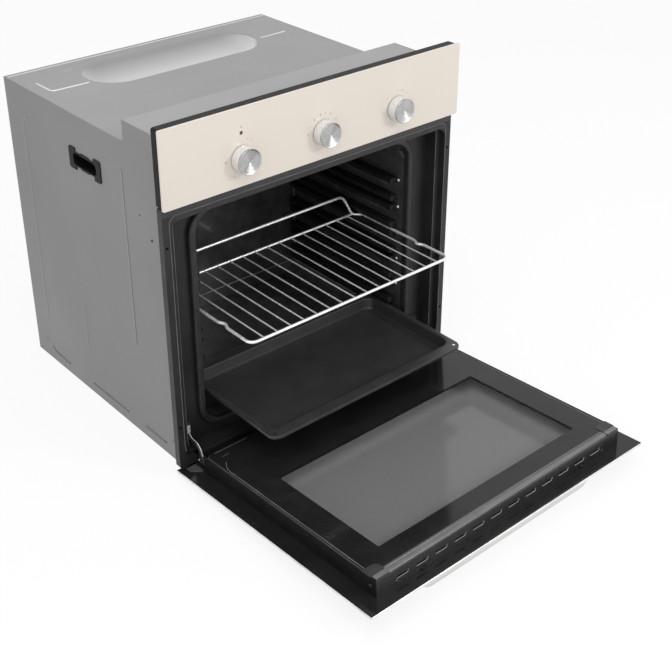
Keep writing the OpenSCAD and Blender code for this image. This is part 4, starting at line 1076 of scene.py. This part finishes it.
makeTopRail(railForm)
makeCornerCaps(railForm)
print("top rail made")

# ---------- printed marks of the panel ----------

markForm = {"face": -0.02205, "thick": 0.0001, "radius": 0.0300, "size": 0.0013,
            # angle from upwards in degrees, clockwise, and the kind of mark, for each knob
            "marks": {-0.156: ((-88, "cross"), (22, "dot"), (38, "dash"), (150, "dash"), (210, "dash")),
                      0.0: ((-84, "ring"), (-62, "dash"), (-36, "ring"), (-10, "cross"), (10, "dot"), (30, "ring"),
                            (60, "cross"), (95, "dash")),
                      0.156: ((-90, "dash"), (-45, "dot"), (0, "dash"), (24, "cross"), (45, "dot"), (90, "dash"),
                              (135, "dot"))},
            "z": 0.524, "lampMark": (-0.156, 0.5735),
            # half width and height of the bars, and radii, in parts of the size
            "bars": {"dash": ((0.35, 1.3),), "cross": ((0.35, 1.3), (1.3, 0.35))}, "dot": 0.7, "ring": (1.3, 0.75)}


def makeMark(kind, x, z, turn, values):
    size = values["size"]
    front, back = at(values["face"]), at(values["face"]) + values["thick"]
    parts = []
    for wide, tall in values["bars"].get(kind, ()):
        bar = boxPiece("mark", (x - size * wide, front, z - size * tall), (x + size * wide, back, z + size * tall))
        only(bar)
        bpy.ops.transform.rotate(value=turn, orient_axis="Y", center_override=(x, 0, z))
        parts.append(bar)
    if kind == "dot":
        parts.append(rodPiece("mark", (x, front, z), (x, back, z), size * values["dot"], 12))
    if kind == "ring":
        outer, inner = (size * radius for radius in values["ring"])
        ring = rodPiece("mark", (x, front, z), (x, back, z), outer, 20)
        combine(ring, [rodPiece("markHole", (x, front - overcut, z), (x, back + overcut, z), inner, 20)])
        parts.append(ring)
    return parts


def makeMarks(values):
    parts = []
    for centre, marks in values["marks"].items():
        for degrees, kind in marks:
            angle = math.radians(degrees)
            parts += makeMark(kind, centre + values["radius"] * math.sin(angle),
                              values["z"] + values["radius"] * math.cos(angle), angle, values)
    parts += makeMark("ring", *values["lampMark"], 0.0, values)
    return finishPiece(joined("panelMarks", parts), "oven", "cream_glass", "markInk")


makeMarks(markForm)
print("marks made")

# ---------- inner door glass ----------


def makeInnerGlass(values):
    # a black printed border round a clear window
    rings = plateRings(values["innerX"], values["innerZ0"], values["innerZ1"], values["innerCorner"],
                       values["innerY0"], values["innerY1"], values["edge"])
    piece = ringedPiece("doorInnerGlass", rings, 8, caps=(True, True))
    x, low, high = values["windowX"], values["windowZ0"], values["windowZ1"]
    paint(piece, "innerPrint", "innerEdge", "windowPane")
    bpy.ops.object.mode_set(mode="EDIT")
    for place, along in (((-x, 0, 0), (1, 0, 0)), ((x, 0, 0), (1, 0, 0)), ((0, 0, low), (0, 0, 1)),
                         ((0, 0, high), (0, 0, 1))):
        bpy.ops.mesh.select_all(action="SELECT")
        bpy.ops.mesh.bisect(plane_co=place, plane_no=along)
    bpy.ops.object.mode_set(mode="OBJECT")
    paintFaces(piece, lambda place, normal: abs(normal.y) < straight,
               lambda place, normal: abs(normal.y) > straight and abs(place.x) < x and low < place.z < high)
    smooth(piece, 30)
    return finishPiece(onDoor(piece), "door", "inner_glass", None, "door_inner_glass")


# painted highlights: light lines along the edges seen on the inner face of the door: radius and points (x, z), z
# along the closed door
edgeHighlightForm = {"outer": (0.0003, (0.2652, 0.0450), (0.2652, 0.4222)),
            "inner": (0.0009, (0.2500, 0.0830), (0.2582, 0.0960), (0.2602, 0.1080), (0.2602, 0.4222)),
            "low": (0.0006, (0.1850, 0.0502), (0.2490, 0.0502)),
            "short": (0.0006, (0.2330, 0.0652), (0.2450, 0.0664))}
edgeHighlightPlace = {"y": 0.0118, "bend": 0.003}


def makeDoorEdgeHighlights(edges, values):
    # painted highlights: thin light wires along the door's inner edges
    parts = [wirePiece("doorEdgeHighlight", [(side * x, at(values["y"]), z) for x, z in points], radius, values["bend"])
             for side in (-1, 1) for radius, *points in edges.values()]
    return finishPiece(onDoor(joined("doorEdgeHighlights", parts)), "door", "inner_glass", "innerEdge")


makeInnerGlass(glassForm)
makeDoorEdgeHighlights(edgeHighlightForm, edgeHighlightPlace)
print("inner glass made")

# ---------- wire rack ----------

rackForm = {"x": 0.2110, "y0": -0.1015, "y1": 0.1405, "z": 0.2623, "wire": 0.0025, "thin": 0.0013,
            "cross": 0.002125, "corner": 0.0075, "kink": 0.068, "kinkIn": 0.005, "bowX": 0.1970, "crossY": 0.1315,
            "bowTop": 0.1850, "bowHigh": 0.037, "bars": 15, "bend": 0.005,
            # how far the kink runs, and where the bow leaves the side and turns in
            "kinkRun": (-0.005, 0.008, 0.013), "bowStart": 0.022, "bowRound": (0.009, 0.006), "join": 0.001}


def makeRack(values):
    x, y0, y1, z, corner, bowX = (values[k] for k in ("x", "y0", "y1", "z", "corner", "bowX"))
    kinkX, kinkY = x - values["kinkIn"], y0 + values["kink"]
    before, within, after = values["kinkRun"]
    bow, bowTop, (inner, under) = z + values["bowHigh"], values["bowTop"], values["bowRound"]
    side = [(x - corner, y0, z), (x, y0 + corner, z), (x, kinkY + before, z), (kinkX, kinkY, z),
            (kinkX, kinkY + within, z), (x, kinkY + after, z), (x, y1 - values["bowStart"], z),
            (bowX, values["crossY"], z), (bowTop, y1, bow - under), (bowTop - inner, y1, bow)]
    loop = [(0.0, y0, z)] + side + [(-a, b, c) for a, b, c in reversed(side)] + [(-values["join"], y0, z)]
    loop = [(a, at(b), c) for a, b, c in loop]
    parts = [wirePiece("rackFrame", loop, values["wire"], values["bend"], 4)]
    parts.append(rodPiece("rackCross", (-bowX, at(values["crossY"]), z), (bowX, at(values["crossY"]), z),
                          values["cross"], 16))
    bars = values["bars"]
    for index in range(bars):
        barX = (index - (bars - 1) / 2) * 2 * x / (bars + 1)
        parts.append(rodPiece("rackBar", (barX, at(y0), z), (barX, at(values["crossY"]), z), values["thin"], 12))
    piece = joined("wireRack", parts)
    smooth(piece, 50, False)
    return finishPiece(piece, "rack", "chrome", "rackChrome", "wire_rack")


makeRack(rackForm)
print("rack made")

# ---------- baking tray ----------

trayForm = {"x": 0.208, "y0": -0.148, "y1": 0.104, "thick": 0.0012, "panX": 0.199, "panIn": 0.020,
            # outlines of the rim and of the pan: inset, height and corner
            "rim": ((0.0, 0.1053, 0.016), (0.0, 0.1086, 0.016), (0.0005, 0.1097, 0.016), (0.0017, 0.1102, 0.015)),
            "pan": ((-0.0012, 0.1102, 0.020), (0.0010, 0.1094, 0.019), (0.0022, 0.1072, 0.018),
                    (0.0035, 0.0942, 0.018), (0.0050, 0.0906, 0.018), (0.0075, 0.0889, 0.018),
                    (0.0120, 0.0884, 0.018)),
            "holeX": 0.197, "holeY": -0.137, "holeZ": (0.1042, 0.1122), "hole": 0.0028}


def makeTray(values):
    def outline(x, y0, y1, rows):
        return [((-x + inset, at(y0) + inset), (x - inset, at(y1) - inset), corner, height)
                for inset, height, corner in rows]
    rings = outline(values["x"], values["y0"], values["y1"], values["rim"])
    rings += outline(values["panX"], values["y0"] + values["panIn"], values["y1"] - values["panIn"], values["pan"])
    piece = ringedPiece("bakingTray", rings, 10, caps=(False, True), plane="XY")
    applyModifier(piece, "SOLIDIFY", thickness=values["thick"], offset=-1.0, use_even_offset=True)
    y, (low, high) = at(values["holeY"]), values["holeZ"]
    combine(piece, [rodPiece("trayHole", (side * values["holeX"], y, low), (side * values["holeX"], y, high),
                             values["hole"], 20) for side in (-1, 1)])
    smooth(piece, 30)
    return finishPiece(piece, "tray", "tray_enamel", "trayEnamel", "baking_tray")


makeTray(trayForm)
print("tray made")

# ---------- screws and the pilot lamp ----------

screwForm = {"radius": 0.0033, "proud": 0.0015, "slotWide": 0.0008, "slotLong": 0.0040, "slotDeep": 0.0008,
             # the head's outline, in parts of its radius and height
             "dome": ((0.0, 1.0), (0.5, 0.98), (0.8, 0.8), (0.96, 0.45), (1.0, 0.15), (1.0, 0.0), (0.0, 0.0)),
             # place on the left side, the rear or the door, y from the front of the casing
             "side": ((0.2750, 0.036, 0.037), (0.2750, 0.454, 0.037)), "rearX": 0.2562, "rearY": 0.4900,
             "rearZ": (0.040, 0.500), "door": (0.2660, -0.003, 0.440),
             # how far the recess is turned, in radians; at the rear with the height added
             "rearTurn": 0.4, "doorTurn": 0.5}


def makeScrew(values, place, degrees, angle):
    # a round head with a cross recess, drawn towards the front and then turned about the upright
    radius, proud = values["radius"], values["proud"]
    piece = turnedPiece("screw", [(radius * across, -proud * high) for across, high in values["dome"]], (0, 0, 0),
                        steps=32)
    wide, long, deep = values["slotWide"] / 2, values["slotLong"] / 2, proud - values["slotDeep"]
    combine(piece, [boxPiece("screwSlot", (-x, -proud - overcut, -z), (x, -deep, z))
                    for x, z in ((wide, long), (long, wide))])
    smooth(piece, 35)
    piece.matrix_world = (Matrix.Translation(place) @ Matrix.Rotation(math.radians(degrees), 4, "Z")
                          @ Matrix.Rotation(angle, 4, "Y"))
    settle(piece)
    return piece


def makeScrews(values):
    parts = []
    for side in (-1, 1):
        for x, y, z in values["side"]:
            parts.append(makeScrew(values, (side * x, at(y), z), 90 * side, y))
        for z in values["rearZ"]:
            place = (side * values["rearX"], at(values["rearY"]), z)
            parts.append(makeScrew(values, place, 180, values["rearTurn"] + z))
    finishPiece(joined("casingScrewHeads", parts), "oven", "bright_steel", "screwSteel", "casing_screws")
    x, y, z = values["door"]
    heads = [makeScrew(values, (side * x, at(y), z), 90 * side, values["doorTurn"]) for side in (-1, 1)]
    finishPiece(onDoor(joined("doorScrewHeads", heads)), "door", "bright_steel", "boltSteel", "door_side_screws")


lampForm = {"centre": (-0.156, -0.022, 0.564),
            # radius and depth of the rim and of the domed lens
            "profile": ((0.0, -0.0009), (0.0008, -0.00085), (0.0014, -0.0006), (0.0018, -0.0002), (0.00195, -0.0002),
                        (0.0020, -0.0006), (0.0023, -0.0007), (0.00245, -0.0005), (0.0025, 0.0), (0.0025, 0.0060),
                        (0.0045, 0.0060), (0.0045, 0.0160), (0.0, 0.0160))}


def makePilotLamp(values):
    x, y, z = values["centre"]
    piece = turnedPiece("pilotLamp", values["profile"], (x, at(y), z), steps=40)
    smooth(piece, 40)
    return finishPiece(piece, "oven", "lamp_red", "pilotAmber", "pilot_lamp")


makeScrews(screwForm)
makePilotLamp(lampForm)
print("screws and pilot lamp made")

# ---------- hinge details ----------

hingeForm = {"plate": ((0.2508, 0.0204, 0.0500), (0.2594, 0.0218, 0.0655)), "plateRound": 0.0005,
             # ribs: distance from the middle and points (y, z)
             "ribs": ((0.2535, (0.0205, 0.0500), (0.0150, 0.0441), (-0.0010, 0.0428), (-0.0090, 0.0375),
                       (-0.0155, 0.0225)),
                      (0.2500, (0.0100, 0.0330), (-0.0020, 0.0320), (-0.0090, 0.0260), (-0.0115, 0.0190))),
             "ribRadius": 0.0008, "ribBend": 0.004,
             "rivets": ((0.0120, 0.0375), (0.0020, 0.0365), (-0.0070, 0.0300)), "rivetRadius": 0.0019,
             "rivetX": (0.2508, 0.2497),
             "corner": ((0.266, -0.0181, 0.016), (0.284, -0.0172, 0.040)), "cornerCut": 0.012, "cornerRound": 0.0002}


def sidePlate(name, side, corners, width, segments, cut=None):
    # a rounded plate between two corners, on one side; cut: the size of its cut corner
    low, high = ((side * x, at(y), z) for x, y, z in corners)
    plate = boxPiece(name, low, high)
    if cut:
        bevelEdges(plate, cut, 1, lambda place, along: abs(along.y) > straight and place.z > high[2] - nearly
                   and abs(place.x) > abs(high[0]) - nearly)
    roundEdges(plate, width, segments)
    return plate


def makeHingeDetails(values):
    parts = []
    for side in (-1, 1):
        parts.append(sidePlate("hingePlate", side, values["plate"], values["plateRound"], 2))
        for x, *points in values["ribs"]:
            parts.append(wirePiece("hingeRib", [(side * x, at(y), z) for y, z in points], values["ribRadius"],
                                   values["ribBend"]))
        for y, z in values["rivets"]:
            start, end = ((side * x, at(y), z) for x in values["rivetX"])
            rivet = rodPiece("rivet", start, end, values["rivetRadius"], 16)
            roundEdges(rivet, values["plateRound"], 2)
            parts.append(rivet)
    finishPiece(joined("hingeDetails", parts), "oven", "bright_steel", "hingeSteel")
    plates = [sidePlate("cornerPlate", side, values["corner"], values["cornerRound"], 1, values["cornerCut"])
              for side in (-1, 1)]
    finishPiece(onDoor(joined("doorCornerPlates", plates)), "door", "black_frame", "ledgeEnamel")


makeHingeDetails(hingeForm)
print("hinge details made")

# ---------- painted highlights of the cavity: light lines along its seams and edges, and bright glint dots ---

cavityForm = {"x": 0.2185, "y0": 0.040, "y1": 0.3270, "low": 0.085, "high": 0.400, "seam": 0.0012, "ledge": 0.0042,
              "glintX": 0.2192, "glintY": 0.0345, "glintZ": 0.1515, "glintPitch": 0.0515, "glints": 5, "stop": 0.0026,
              "ledgeDown": 0.002, "seamBend": 0.004,
              # the outline of a bright glint dot, in parts of its radius
              "dome": ((0.0, 0.7), (0.5, 0.6), (0.85, 0.35), (1.0, 0.0), (0.0, 0.0))}


def makeCavityLines(values):
    x, low, high, back, radius = values["x"], values["low"], values["high"], at(values["y1"]), values["stop"]
    ledgeZ = low - values["ledgeDown"]
    seams, edgeHighlights, glints = [], [], []
    for side in (-1, 1):
        seams.append(wirePiece("seam", [(0.0, back, low), (side * x, back, low), (side * x, back, high)],
                               values["seam"], values["seamBend"]))
        ledge = rodPiece("ledge", (side * x, at(values["y0"]), ledgeZ), (side * x, back, ledgeZ), values["ledge"], 20)
        smooth(ledge, 40, False)
        edgeHighlights.append(ledge)
        # painted highlights: small bright domes at the ribs' front ends, as glints
        for index in range(values["glints"]):
            dome = turnedPiece("stop", [(radius * across, -radius * out) for across, out in values["dome"]],
                               (0, 0, 0), steps=20)
            smooth(dome, 60, False)
            z = values["glintZ"] + index * values["glintPitch"]
            dome.matrix_world = (Matrix.Translation((side * values["glintX"], at(values["glintY"]), z))
                                 @ Matrix.Rotation(math.radians(-90 * side), 4, "Z"))
            settle(dome)
            glints.append(dome)
    # painted highlights: the seam wires and edge rods get a light enamel
    finishPiece(joined("cavitySeamHighlights", seams), "oven", "enamel", "cornerHighlightEnamel")
    finishPiece(joined("cavityEdgeHighlights", edgeHighlights), "oven", "enamel", "cornerHighlightEnamel")
    # painted highlights: the glint dots get a bright steel
    finishPiece(joined("cavityGlints", glints), "oven", "bright_steel", "hingeSteel")


makeCavityLines(cavityForm)
print("cavity lines made")
